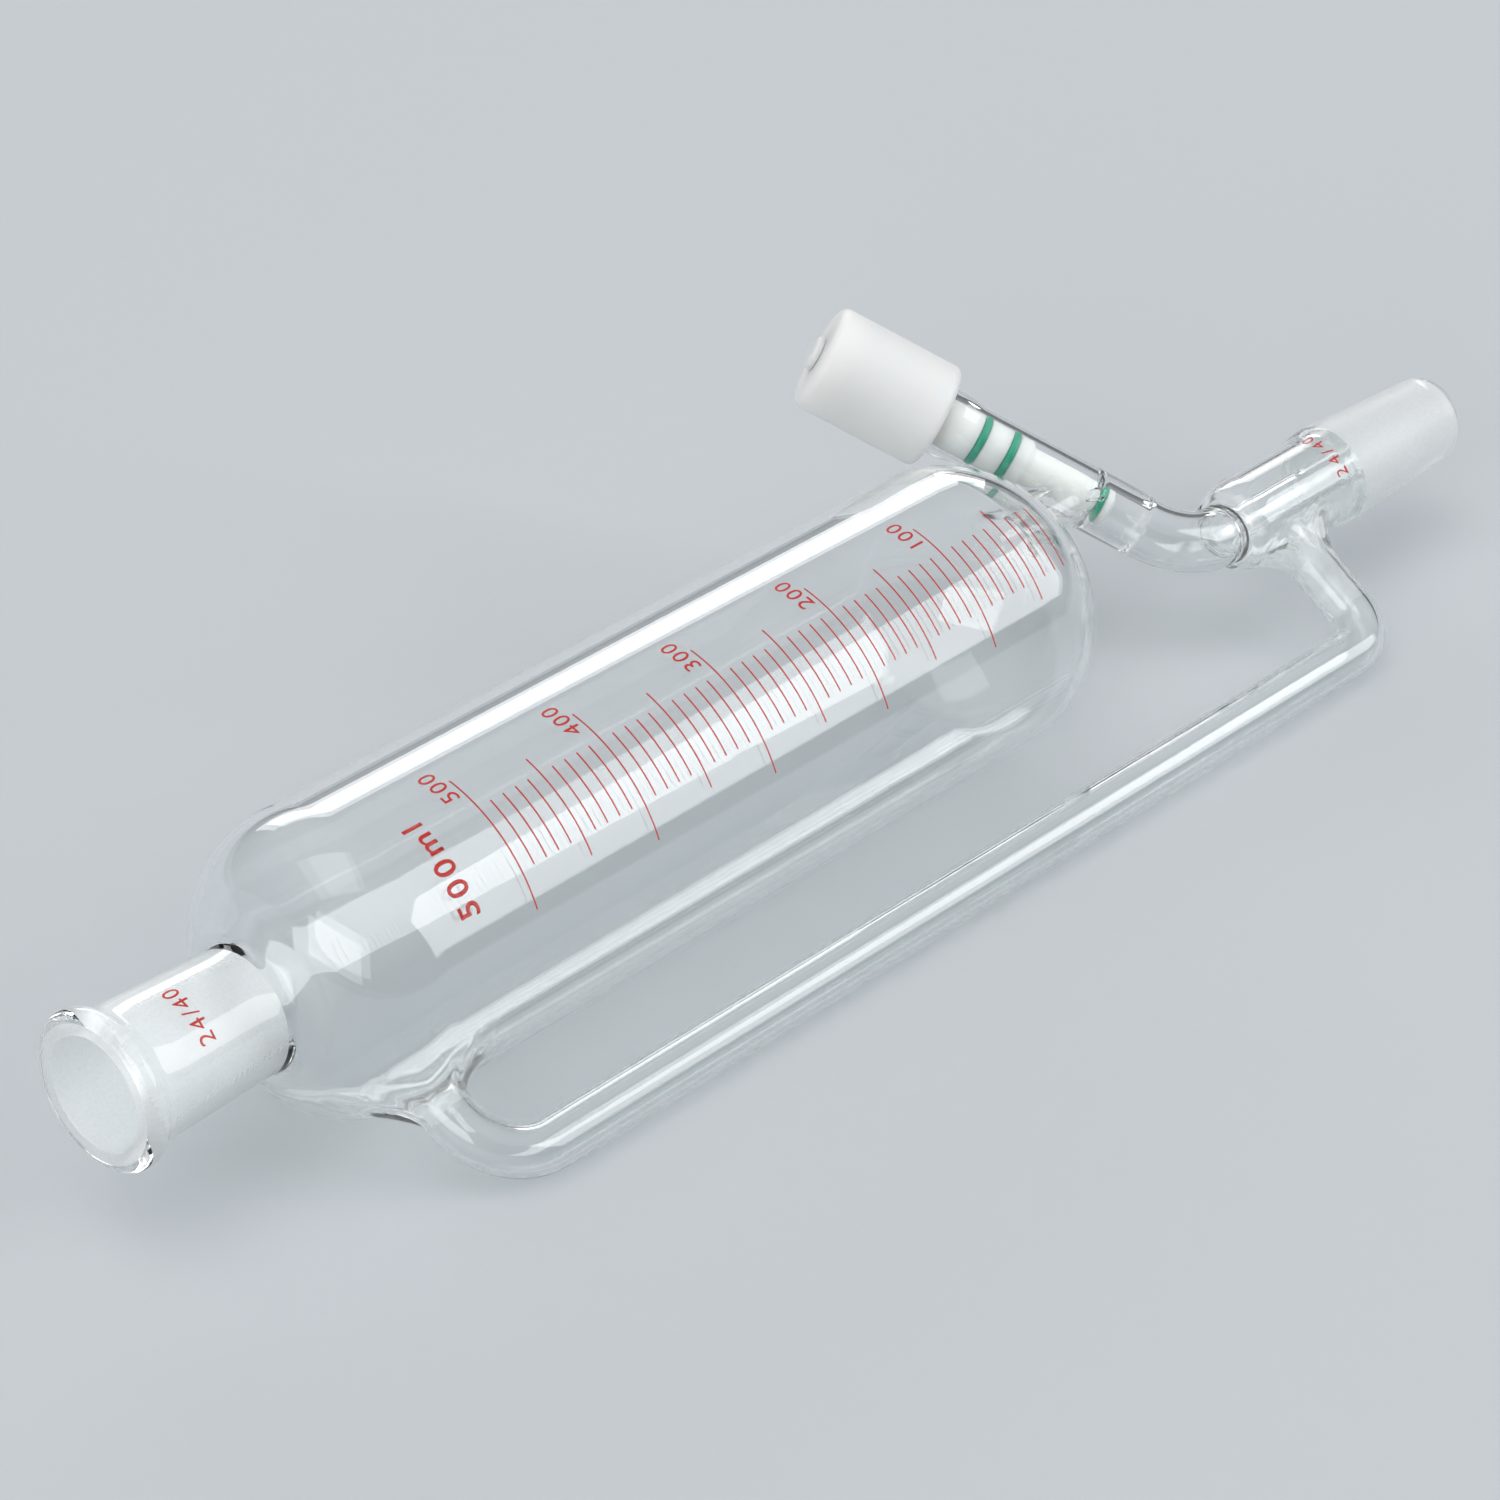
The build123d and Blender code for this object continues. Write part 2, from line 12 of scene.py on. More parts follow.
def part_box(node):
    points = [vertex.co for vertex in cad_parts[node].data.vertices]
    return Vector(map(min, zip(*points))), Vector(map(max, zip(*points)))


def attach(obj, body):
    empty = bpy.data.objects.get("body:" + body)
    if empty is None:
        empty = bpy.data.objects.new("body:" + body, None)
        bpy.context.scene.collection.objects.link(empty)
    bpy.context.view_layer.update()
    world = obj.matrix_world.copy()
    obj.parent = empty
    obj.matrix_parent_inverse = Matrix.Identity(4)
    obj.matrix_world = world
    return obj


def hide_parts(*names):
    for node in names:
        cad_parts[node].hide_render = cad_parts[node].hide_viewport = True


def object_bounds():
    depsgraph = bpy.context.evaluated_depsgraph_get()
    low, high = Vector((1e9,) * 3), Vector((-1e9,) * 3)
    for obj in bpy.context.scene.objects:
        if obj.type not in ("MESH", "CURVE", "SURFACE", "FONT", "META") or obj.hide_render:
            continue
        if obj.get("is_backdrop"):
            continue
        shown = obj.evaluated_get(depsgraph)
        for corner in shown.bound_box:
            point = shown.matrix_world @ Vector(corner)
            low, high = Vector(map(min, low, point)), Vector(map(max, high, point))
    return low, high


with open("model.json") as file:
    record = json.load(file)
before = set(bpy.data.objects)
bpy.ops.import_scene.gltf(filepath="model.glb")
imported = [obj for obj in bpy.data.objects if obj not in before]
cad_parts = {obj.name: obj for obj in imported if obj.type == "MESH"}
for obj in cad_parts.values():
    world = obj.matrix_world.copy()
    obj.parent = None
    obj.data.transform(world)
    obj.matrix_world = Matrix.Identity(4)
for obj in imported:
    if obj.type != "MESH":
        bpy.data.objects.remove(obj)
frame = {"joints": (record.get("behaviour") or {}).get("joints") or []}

bl_info = {
    "name": "Addition funnel",
    "version": (1, 0, 0),
    "blender": (4, 5, 0),
    "location": "View3D > Sidebar > Funnel",
    "description": "Graduated addition funnel with a side arm and a needle valve",
    "category": "Object",
}

MM = 0.001

# ------------------------------------------------------------ shared frame
# Three lengths place every glass surface: x along the main axis from the
# socket's ground mouth, e in the plane of arm, chamber and valve, positive
# on the valve's side, and n square to both. They are in millimetres.
SOCKET_LOW, SOCKET_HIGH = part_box("socket_joint")
CONE_LOW, CONE_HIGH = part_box("cone_joint")
RES_LOW, RES_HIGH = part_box("reservoir")
CHAMBER_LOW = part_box("vapour_chamber")[0]
JOINTS = {joint["name"]: joint for joint in frame["joints"]}

ORIGIN = (SOCKET_LOW + SOCKET_HIGH) / 2
ORIGIN.x = SOCKET_LOW.x
LOW_CENTRE = (CONE_LOW + CONE_HIGH) / 2
ALONG = Vector((1, 0, 0))
LIFT = ORIGIN - LOW_CENTRE
LIFT.x = 0
LOW_OFF = LIFT.length / MM
E_DIR = LIFT.normalized()
N_DIR = ALONG.cross(E_DIR)
RES_R = (RES_HIGH.z - RES_LOW.z) / 2 / MM
CONE_END = (CONE_HIGH.x - ORIGIN.x) / MM
RING_X = (CHAMBER_LOW.x - ORIGIN.x) / MM
BASE_END = (RES_HIGH.x - ORIGIN.x) / MM
VALVE_OUT = Vector(JOINTS["stem_slide"]["axis"]).normalized()
KNOB_POINT = Vector(JOINTS["knob_turn"]["pos_m"]) - ORIGIN
VALVE_COS = -VALVE_OUT.dot(ALONG)
VALVE_SIN = VALVE_OUT.dot(E_DIR)
KNOB_HUB_D = 55.0          # the knob joint's point, outward from the tip O-ring
TIP_X = KNOB_POINT.dot(ALONG) / MM + KNOB_HUB_D * VALVE_COS
TIP_E = KNOB_POINT.dot(E_DIR) / MM - KNOB_HUB_D * VALVE_SIN


def to_world(points):
    """Millimetre (x, e, n) rows as metre rows of the shared frame."""
    axes = np.array([ALONG, E_DIR, N_DIR], float) * MM
    return np.asarray(points, float) @ axes + np.array(ORIGIN, float)


# ----------------------------------------------------------------- colours
def linear(hex_code):
    """sRGB hex, such as "#1FA57F", as linear red, green and blue."""
    parts = [int(hex_code[i:i + 2], 16) / 255 for i in (1, 3, 5)]
    return tuple(c / 12.92 if c <= 0.04045 else ((c + 0.055) / 1.055) ** 2.4 for c in parts)


def opaque(colour):
    return (*colour, 1.0)


# ---------------------------------------------------------------- settings
class FunnelGlassSettings(bpy.types.PropertyGroup):
    tint: FloatVectorProperty(name="Tint", description="Borosilicate colour", subtype="COLOR",
                              size=3, default=linear("#FEFFFF"), min=0, max=1)
    ground: FloatVectorProperty(name="Ground glass", description="Colour of the frosted zones",
                                subtype="COLOR", size=3, default=linear("#F5F7F8"), min=0, max=1)
    foot_spread: FloatProperty(name="Foot spread", description="Mean radius of the arm's foot",
                               default=0.0125, min=0.010, max=0.0132, unit="LENGTH")
    waver: FloatProperty(name="Waver", description="Unevenness of the fused seals",
                         default=0.00035, min=0, max=0.001, unit="LENGTH")


class FunnelPrintSettings(bpy.types.PropertyGroup):
    ink: FloatVectorProperty(name="Ink", description="Fired enamel colour", subtype="COLOR",
                             size=3, default=linear("#CA2A20"), min=0, max=1)
    stroke: FloatProperty(name="Line width", description="Width of a graduation line",
                          default=0.00034, min=0.0002, max=0.002, unit="LENGTH")
    figure: FloatProperty(name="Figure height", description="Height of the scale's figures",
                          default=0.003952, min=0.002, max=0.01, unit="LENGTH")
    build: FloatProperty(name="Build", description="Thickness of the fired ink",
                         default=0.00005, min=0.00001, max=0.0003, unit="LENGTH")


class FunnelValveSettings(bpy.types.PropertyGroup):
    ptfe: FloatVectorProperty(name="PTFE", description="Turned PTFE colour", subtype="COLOR",
                              size=3, default=linear("#F6F6F2"), min=0, max=1)
    rubber: FloatVectorProperty(name="O-rings", description="O-ring colour", subtype="COLOR",
                                size=3, default=linear("#12A480"), min=0, max=1)
    corner: FloatProperty(name="Knob corner", description="Rounding of the knob's corners",
                          default=0.002, min=0.0005, max=0.004, unit="LENGTH")


class FunnelStageSettings(bpy.types.PropertyGroup):
    floor: FloatVectorProperty(name="Floor", description="Floor colour", subtype="COLOR",
                               size=3, default=linear("#C8CCD0"), min=0, max=1)
    key: FloatProperty(name="Key lamp", description="Power of the key softbox", default=38.0,
                       min=0, unit="POWER")
    fill: FloatProperty(name="Fill lamp", description="Power of each fill softbox", default=19.6,
                        min=0, unit="POWER")
    sky: FloatProperty(name="Sky", description="Strength of the studio's own light",
                       default=0.8, min=0, max=2)


# --------------------------------------------------------------- materials
def add_node(tree, kind, settings=None, links=None, **values):
    """One node with its settings, its socket values and its incoming links."""
    node = tree.nodes.new(kind)
    for name, value in (settings or {}).items():
        setattr(node, name, value)
    for name, value in values.items():
        node.inputs[name.replace("_", " ")].default_value = value
    for name, source in (links or {}).items():
        tree.links.new(source, node.inputs[name])
    return node


def new_material(name):
    """An empty node material, its tree and its output node."""
    material = bpy.data.materials.new(name)
    material.use_nodes = True
    material.node_tree.nodes.clear()
    return material, material.node_tree, add_node(material.node_tree, "ShaderNodeOutputMaterial")


def let_lamps_through(tree, output, surface, veil):
    """Glass that passes the lamps' light on to the floor, dimmed to the veil's colour."""
    path = add_node(tree, "ShaderNodeLightPath")
    clear = add_node(tree, "ShaderNodeBsdfTransparent", Color=opaque(veil))
    mix = add_node(tree, "ShaderNodeMixShader", links={"Fac": path.outputs["Is Shadow Ray"]})
    tree.links.new(surface, mix.inputs[1])
    tree.links.new(clear.outputs[0], mix.inputs[2])
    tree.links.new(mix.outputs[0], output.inputs["Surface"])


def set_tones(ramp, stops):
    """Gives a ramp's elements their positions and colours, in order."""
    for element, (position, colour) in zip(ramp.color_ramp.elements, stops):
        element.position = position
        element.color = opaque(colour)


def every(size):
    """Scale of a pattern whose features are this many millimetres apart."""
    return 1 / (size * MM)


def shade_of(colour, share):
    """The colour at a share of its brightness."""
    return [channel * share for channel in colour]


GLASS_IOR = 1.474                              # borosilicate
# what one surface of each glass lets through to the floor
CLEAR_VEIL, SEALED_VEIL, GROUND_VEIL = "#DDE0E0", "#D8DBDB", "#C9CDCC"


def borosilicate_material(colour):
    # Borosilicate tube, blown and fire-polished: colourless, mirror smooth, with the
    # faint waves that drawing leaves along its wall, 110 mm long and 25 mm across.
    material, tree, output = new_material("borosilicate_fire_polished")
    place = add_node(tree, "ShaderNodeTexCoord")
    stretch = add_node(tree, "ShaderNodeMapping", links={"Vector": place.outputs["Object"]},
                       Scale=(every(110), every(25), every(25)))
    wave = add_node(tree, "ShaderNodeTexNoise", links={"Vector": stretch.outputs[0]},
                    Scale=1.0, Detail=1.0)
    bump = add_node(tree, "ShaderNodeBump", links={"Height": wave.outputs[0]},
                    Strength=0.03, Distance=0.6 * MM)
    glass = add_node(tree, "ShaderNodeBsdfPrincipled", links={"Normal": bump.outputs[0]},
                     Base_Color=opaque(colour), Roughness=0.0, IOR=GLASS_IOR,
                     Transmission_Weight=1.0)
    let_lamps_through(tree, output, glass.outputs[0], linear(CLEAR_VEIL))
    return material


def flame_worked_material(colour):
    # Borosilicate melted and drawn in the torch where two tubes are sealed: clear, but
    # with a thin milky bloom and flow lines 4 mm apart that catch the light.
    material, tree, output = new_material("borosilicate_flame_worked")
    place = add_node(tree, "ShaderNodeTexCoord")
    flow = add_node(tree, "ShaderNodeTexNoise", links={"Vector": place.outputs["Object"]},
                    Scale=every(4), Detail=1.0, Distortion=0.6)
    bump = add_node(tree, "ShaderNodeBump", links={"Height": flow.outputs[0]},
                    Strength=0.1, Distance=0.6 * MM)
    bloom = add_node(tree, "ShaderNodeMapRange", links={"Value": flow.outputs[0]},
                     From_Min=0.35, From_Max=0.7, To_Min=0.96, To_Max=0.86)
    glass = add_node(tree, "ShaderNodeBsdfPrincipled",
                     links={"Normal": bump.outputs[0], "Transmission Weight": bloom.outputs[0]},
                     Base_Color=opaque(colour), Roughness=0.0, IOR=GLASS_IOR)
    let_lamps_through(tree, output, glass.outputs[0], linear(SEALED_VEIL))
    return material


def ground_glass_material(colour):
    # Borosilicate ground with 120 grit for the taper joint: white, dull, see-through
    # only as a blur, with marks round the taper 1.1 mm apart. The grit's real 0.1 mm
    # would not show, so it is drawn at 0.5 mm.
    material, tree, output = new_material("borosilicate_ground")
    place = add_node(tree, "ShaderNodeTexCoord")
    grit = add_node(tree, "ShaderNodeTexNoise", links={"Vector": place.outputs["Object"]},
                    Scale=every(0.5), Detail=2.0)
    rings = add_node(tree, "ShaderNodeMapping", links={"Vector": place.outputs["Object"]},
                     Scale=(every(1.1), every(17), every(17)))
    marks = add_node(tree, "ShaderNodeTexNoise", links={"Vector": rings.outputs[0]},
                     Scale=1.0, Detail=1.0)
    both = add_node(tree, "ShaderNodeMath", {"operation": "ADD"})
    tree.links.new(grit.outputs[0], both.inputs[0])
    tree.links.new(marks.outputs[0], both.inputs[1])
    bump = add_node(tree, "ShaderNodeBump", links={"Height": both.outputs[0]},
                    Strength=0.4, Distance=0.08 * MM)
    rough = add_node(tree, "ShaderNodeMapRange", links={"Value": marks.outputs[0]},
                     To_Min=0.4, To_Max=0.6)
    shade = add_node(tree, "ShaderNodeValToRGB", links={"Fac": grit.outputs[0]})
    set_tones(shade, ((0.3, shade_of(colour, 0.92)), (0.6, colour)))
    glass = add_node(tree, "ShaderNodeBsdfPrincipled",
                     links={"Base Color": shade.outputs[0], "Normal": bump.outputs[0],
                            "Roughness": rough.outputs[0]},
                     IOR=GLASS_IOR, Transmission_Weight=0.48)
    let_lamps_through(tree, output, glass.outputs[0], linear(GROUND_VEIL))
    return material


def enamel_material(colour):
    # Red ceramic enamel, screen printed and fired on: dense, a little glossy, with
    # the pinholes and thin spots that firing leaves, 0.55 mm apart.
    material, tree, output = new_material("enamel_fired")
    place = add_node(tree, "ShaderNodeTexCoord")
    speck = add_node(tree, "ShaderNodeTexNoise", links={"Vector": place.outputs["Object"]},
                     Scale=every(0.55), Detail=3.0)
    shade = add_node(tree, "ShaderNodeValToRGB", links={"Fac": speck.outputs[0]})
    set_tones(shade, ((0.3, shade_of(colour, 0.72)), (0.62, colour)))
    paint = add_node(tree, "ShaderNodeBsdfPrincipled", links={"Base Color": shade.outputs[0]},
                     Roughness=0.34, IOR=1.5)
    tree.links.new(paint.outputs[0], output.inputs["Surface"])
    return material


def ptfe_material(colour):
    # PTFE rod, turned on a lathe: waxy white, soft sheen, light passes a little way
    # in, and the tool's fine rings stand 0.36 mm apart along the axis.
    material, tree, output = new_material("ptfe_turned")
    place = add_node(tree, "ShaderNodeTexCoord")
    turn = add_node(tree, "ShaderNodeVectorRotate",
                    {"rotation_type": "AXIS_ANGLE"}, {"Vector": place.outputs["Object"]},
                    Axis=tuple(VALVE_OUT.cross(Vector((0, 0, 1))).normalized()),
                    Angle=VALVE_OUT.angle(Vector((0, 0, 1))))
    squeeze = add_node(tree, "ShaderNodeMapping", links={"Vector": turn.outputs[0]},
                       Scale=(every(40), every(40), every(0.36)))
    rings = add_node(tree, "ShaderNodeTexNoise", links={"Vector": squeeze.outputs[0]},
                     Scale=1.0, Detail=2.0)
    cloud = add_node(tree, "ShaderNodeTexNoise", links={"Vector": place.outputs["Object"]},
                     Scale=every(6.25), Detail=3.0)
    rough = add_node(tree, "ShaderNodeMapRange", links={"Value": cloud.outputs[0]},
                     To_Min=0.3, To_Max=0.46)
    bump = add_node(tree, "ShaderNodeBump", links={"Height": rings.outputs[0]},
                    Strength=0.25, Distance=0.04 * MM)
    body = add_node(tree, "ShaderNodeBsdfPrincipled",
                    links={"Roughness": rough.outputs[0], "Normal": bump.outputs[0]},
                    Base_Color=opaque(colour), IOR=1.38, Subsurface_Weight=0.7,
                    Subsurface_Scale=6 * MM)
    body.inputs["Subsurface Radius"].default_value = (1.0, 0.9, 0.8)
    tree.links.new(body.outputs[0], output.inputs["Surface"])
    return material


MIX_A, MIX_B, MIX_RESULT = 6, 7, 2             # the colour sockets of a mix node


def rubber_material(colour):
    # Green elastomer, moulded and a little greased: dense colour under a soft shine,
    # a shade uneven every 1.1 mm.
    material, tree, output = new_material("elastomer_moulded")
    place = add_node(tree, "ShaderNodeTexCoord")
    grain = add_node(tree, "ShaderNodeTexNoise", links={"Vector": place.outputs["Object"]},
                     Scale=every(1.1), Detail=2.0)
    shade = add_node(tree, "ShaderNodeMix", {"data_type": "RGBA"},
                     {"Factor": grain.outputs[0]})
    shade.inputs[MIX_A].default_value = opaque(shade_of(colour, 0.88))
    shade.inputs[MIX_B].default_value = opaque(colour)
    body = add_node(tree, "ShaderNodeBsdfPrincipled",
                    links={"Base Color": shade.outputs[MIX_RESULT]},
                    Roughness=0.36, IOR=1.52)
    tree.links.new(body.outputs[0], output.inputs["Surface"])
    return material


# ------------------------------------------------------------ mesh building
CLEAR, FROSTED, SEALED = 0, 1, 2               # the glass body's material slots
WELD = 0.004 * MM
GLASS_CREASE, TURNED_CREASE = radians(42), radians(50)


class Shell:
    """Collects grids of points that share their borders and welds them into one mesh."""

    def __init__(self):
        self.points = []
        self.faces = []
        self.slots = []

    def grid(self, rings, slots=None, windows=()):
        """Quads between rings of points; each window (k0, k1, j0, j1) leaves cells open."""
        rings = [np.asarray(ring, float) for ring in rings]
        count = len(rings[0])
        base = sum(len(p) for p in self.points)
        self.points.extend(rings)
        for k in range(len(rings) - 1):
            for j in range(count):
                if any(w[0] <= k < w[1] and w[2] <= j < w[3] for w in windows):
                    continue
                a = base + k * count + j
                b = base + k * count + (j + 1) % count
                self.faces.append((a, b, b + count, a + count))
                self.slots.append(slots[k] if slots else CLEAR)
        return rings

    def mesh_object(self, name, materials, crease):
        """The welded, outward-facing mesh as an object, with sharp edges past the crease angle."""
        mesh = bpy.data.meshes.new(name)
        mesh.from_pydata(to_world(np.vstack(self.points)).tolist(), [], self.faces)
        for material in materials:
            mesh.materials.append(material)
        mesh.polygons.foreach_set("material_index", self.slots)
        work = bmesh.new()
        work.from_mesh(mesh)
        bmesh.ops.remove_doubles(work, verts=work.verts, dist=WELD)
        bmesh.ops.dissolve_degenerate(work, edges=work.edges, dist=WELD)
        bmesh.ops.recalc_face_normals(work, faces=work.faces)
        for face in work.faces:
            face.smooth = True
        for edge in work.edges:
            if len(edge.link_faces) == 2 and edge.calc_face_angle() > crease:
                edge.smooth = False
        work.to_mesh(mesh)
        work.free()
        thing = bpy.data.objects.new(name, mesh)
        bpy.context.scene.collection.objects.link(thing)
        return thing


def circle(centre, direction, radius, count, wobble=None):
    """Points around an in-plane path: direction and centre are (x, e) pairs."""
    angle = 2 * pi * np.arange(count) / count
    side = (-direction[1], direction[0])
    reach = radius if wobble is None else radius + wobble(angle)
    return np.column_stack([
        centre[0] + side[0] * reach * np.cos(angle),
        centre[1] + side[1] * reach * np.cos(angle),
        reach * np.sin(angle),
    ])


def bezier(p0, p1, p2, p3, steps):
    """Points along a cubic Bezier curve, its ends included."""
    t = np.linspace(0, 1, steps + 1)[:, None]
    p0, p1, p2, p3 = (np.asarray(p, float) for p in (p0, p1, p2, p3))
    return (1 - t) ** 3 * p0 + 3 * t * (1 - t) ** 2 * p1 + 3 * t * t * (1 - t) * p2 + t ** 3 * p3


def round_corner(points, index, reach, steps=5):
    """The polyline with one corner replaced by a curve that starts reach before it."""
    corner = np.asarray(points[index], float)
    before = np.asarray(points[index - 1], float) - corner
    after = np.asarray(points[(index + 1) % len(points)], float) - corner
    start = corner + before * min(reach / np.linalg.norm(before), 0.49)
    end = corner + after * min(reach / np.linalg.norm(after), 0.49)
    curve = bezier(start, (start + 2 * corner) / 3, (end + 2 * corner) / 3, end, steps)
    return [tuple(p) for p in points[:index]] + [tuple(p) for p in curve] + [
        tuple(p) for p in points[index + 1:]]


def border(rings, window):
    """The loop of grid points around an open window, in order."""
    k0, k1, j0, j1 = window
    count = len(rings[0])
    loop = [rings[k0][j % count] for j in range(j0, j1)]
    loop += [rings[k][j1 % count] for k in range(k0, k1)]
    loop += [rings[k1][j % count] for j in range(j1, j0, -1)]
    loop += [rings[k][j0 % count] for k in range(k1, k0, -1)]
    return np.array(loop)


# The lumps that hand work leaves round a seal: how many, and their shares of the
# waver and of the phase.
LUMPS = ((2, 1.0, 1.0), (5, 0.6, 2.1))
FLARE_WAVER, NECK_WAVER = 2.2, 0.9             # where the seal leaves the host, and above it
FILLET_PULL = 0.6                              # how far the seal's curve leans into its corner


def branch(shell, loop, seat, outward, side, height, tube_r, tube_w, reach, rise,
           waver, phase, rows=4, turns=9):
    """Joins a tube to the open window of another surface with a flowed seal.

    seat is an (x, e) point on the tube's axis, outward its direction away from the
    host and side the direction of angle zero. height(u, v) is the host's surface
    above the seat. reach is how far from the axis the seal leaves the host and rise
    how far up the tube it ends, each as terms in 1, cos and cos twice the angle.
    The last ring of points lies tube_w out from the seat.
    """
    count = len(loop)
    seat, outward, side = (np.array(v, float) for v in (seat, outward, side))
    angle = 2 * pi * np.arange(count) / count
    u, v = (loop[:, :2] - seat) @ side, loop[:, 2]
    given = np.arctan2(v, u)
    orders = [np.roll(order, shift) for order in (np.arange(count), np.arange(count)[::-1])
              for shift in range(count)]
    pick = min(orders, key=lambda p: np.abs(np.angle(np.exp(1j * (given[p] - angle)))).sum())
    loop, u, v = loop[pick], u[pick], v[pick]

    def around(terms):
        return terms[0] + terms[1] * np.cos(angle) + terms[2] * np.cos(2 * angle)

    def place(along_u, along_v, w):
        return np.column_stack([
            seat[0] + side[0] * along_u + outward[0] * w,
            seat[1] + side[1] * along_u + outward[1] * w,
            along_v,
        ])

    def level(rho):
        return height(rho * np.cos(angle), rho * np.sin(angle))

    def eased_to(start, end):
        return (1 - FILLET_PULL) * start + FILLET_PULL * end

    wave = waver * sum(share * np.sin(number * angle + shift * phase)
                       for number, share, shift in LUMPS)
    reach = around(reach) + FLARE_WAVER * wave
    rings = [loop]
    for t in np.linspace(0, 1, rows + 1)[1:]:
        uu = (1 - t) * u + t * reach * np.cos(angle)
        vv = (1 - t) * v + t * reach * np.sin(angle)
        rings.append(place(uu, vv, height(uu, vv)))
    step = 0.05
    start_w = level(reach)
    slope = (level(reach + step) - start_w) / step
    corner_w = start_w - slope * (reach - tube_r)
    top_w = np.minimum(level(np.full(count, tube_r)) + around(rise), tube_w - 0.2)
    lift = np.maximum(top_w - corner_w, 0.3)
    for t in np.linspace(0, 1, turns + 1)[1:]:
        a, b, c, d = (1 - t) ** 3, 3 * t * (1 - t) ** 2, 3 * t * t * (1 - t), t ** 3
        rho = a * reach + b * eased_to(reach, tube_r) + (c + d) * tube_r
        rho = rho + wave * np.sin(pi * t) * NECK_WAVER
        w = a * start_w + b * eased_to(start_w, corner_w) \
            + c * (top_w - FILLET_PULL * lift) + d * top_w
        rings.append(place(rho * np.cos(angle), rho * np.sin(angle), w))
    rings.append(place(tube_r * np.cos(angle), tube_r * np.sin(angle), np.full(count, tube_w)))
    shell.grid(rings, [CLEAR] * (rows - 1) + [SEALED] * (len(rings) - rows))
    return rings[-1]


# ------------------------------------------------------------ glass outlines
# Radii, stations and lengths in millimetres. Facets go round the reservoir and
# the barrel, and cells are what an open window leaves out of them. The border of
# a window has as many points as the ring it is joined to: the neck's as the
# reservoir, the leg's as the foot.
RES_FACETS, BARREL_FACETS = 160, 120
SOCKET_LEN = 39.0
SOCKET_BORE_R, SOCKET_END_R = 12.1, 10.15
RIM_FLAT_R, RIM_ROUND = 14.8, 2.3              # the socket's rolled rim
NECK_X, NECK_R = 41.8, 14.1                    # where the shoulder leaves the socket
SHOULDER_X = 63.5
WALL = 2.0
BORE_R = RES_R - WALL
BASE_X = 248.0
BASE_LEN = BASE_END - BASE_X
BASE_POWER = 1.75                              # 2 would be an ellipse
CAP_R, CAP_ROWS = 21.0, 8                      # the base's middle, drawn with the outlet's seal
FOOT_X0, FOOT_X1, FOOT_CELLS, FOOT_HALF = 44.6, 79.6, 34, 13
INNER_LAG = 1.4                                # the foot's inner window starts this much later
ARM_R, ARM_BORE_R = 5.5, 4.2
ARM_OFF = 53.5                                 # the long run's distance from the main axis
ARM_X1, ARM_X2 = 61.0, 341.8
ARM_BEND1, ARM_BEND2 = 15.5, 9.0
OUTLET_E = 9.2
OUTLET_R, OUTLET_BORE_R = 5.2, 3.7
BARREL_R, BARREL_BORE_R, SEAT_R = 7.25, 5.9, 4.55
THREADED_R = 8.0
BEND_R, BEND_BORE_R, BEND_RADIUS = 7.0, 5.5, 21.5
CHAMBER_R, CHAMBER_BORE_R = 10.7, 9.1
CHAMBER_X1 = 358.0                             # where the chamber steps out to the cone
DRIP_R, DRIP_BORE_R = 4.5, 3.1
DRIP_TIP_X = CONE_END - 9.3
TAPER_LEN, TAPER_SLOPE = 40.0, 0.05            # 1 in 10 on the diameter
CONE_R, CONE_BORE_R = 12.0, 10.0               # at the taper's large end
CONE_START = CONE_END - TAPER_LEN
NECK_ABOVE, NECK_BELOW, NECK_CELLS, NECK_HALF = 15.0, 7.0, 30, 25
NECK_D = (OUTLET_E - TIP_E) / VALVE_SIN
LEG_X0, LEG_X1, LEG_CELLS, LEG_HALF = 329.0, 356.6, 20, 20
SEAL_END = 0.2                                 # a seal ends this much before its tube


def plain(points):
    """Rows of an array as tuples of floats."""
    return [tuple(map(float, p)) for p in points]


def arc(low, high, steps):
    """Angles from low to high, the first left out."""
    return np.linspace(low, high, steps)[1:]


def superellipse(t):
    """Share of the radius left at share t of the depth, and the other way round."""
    return (1 - np.clip(t, 0, 1) ** BASE_POWER) ** (1 / BASE_POWER)


def base_x(depth, radius, r):
    """Station of the base's wall at radius r."""
    return BASE_X + depth * superellipse(r / radius)


def reservoir_wall(x, neck_x, neck_r, radius, depth):
    """Radius at x of the shoulder's ellipse, the cylinder or the base's superellipse."""
    x = np.asarray(x, float)
    t = np.clip((SHOULDER_X - x) / (SHOULDER_X - neck_x), 0, 1)
    r = np.where(x < SHOULDER_X, neck_r + (radius - neck_r) * np.sqrt(1 - t * t), radius)
    return np.where(x > BASE_X, radius * superellipse((x - BASE_X) / depth), r)


def reservoir_outer(x):
    return reservoir_wall(x, NECK_X, NECK_R, RES_R, BASE_LEN)


def reservoir_inner(x):
    return reservoir_wall(x, NECK_X + WALL, SOCKET_END_R + 0.6, BORE_R, BASE_LEN - WALL)


def centred_window(start, cells, half, count):
    """Cells from ring start on, half to each side of the middle of the ring."""
    return (start, start + cells, count // 2 - half, count // 2 + half)


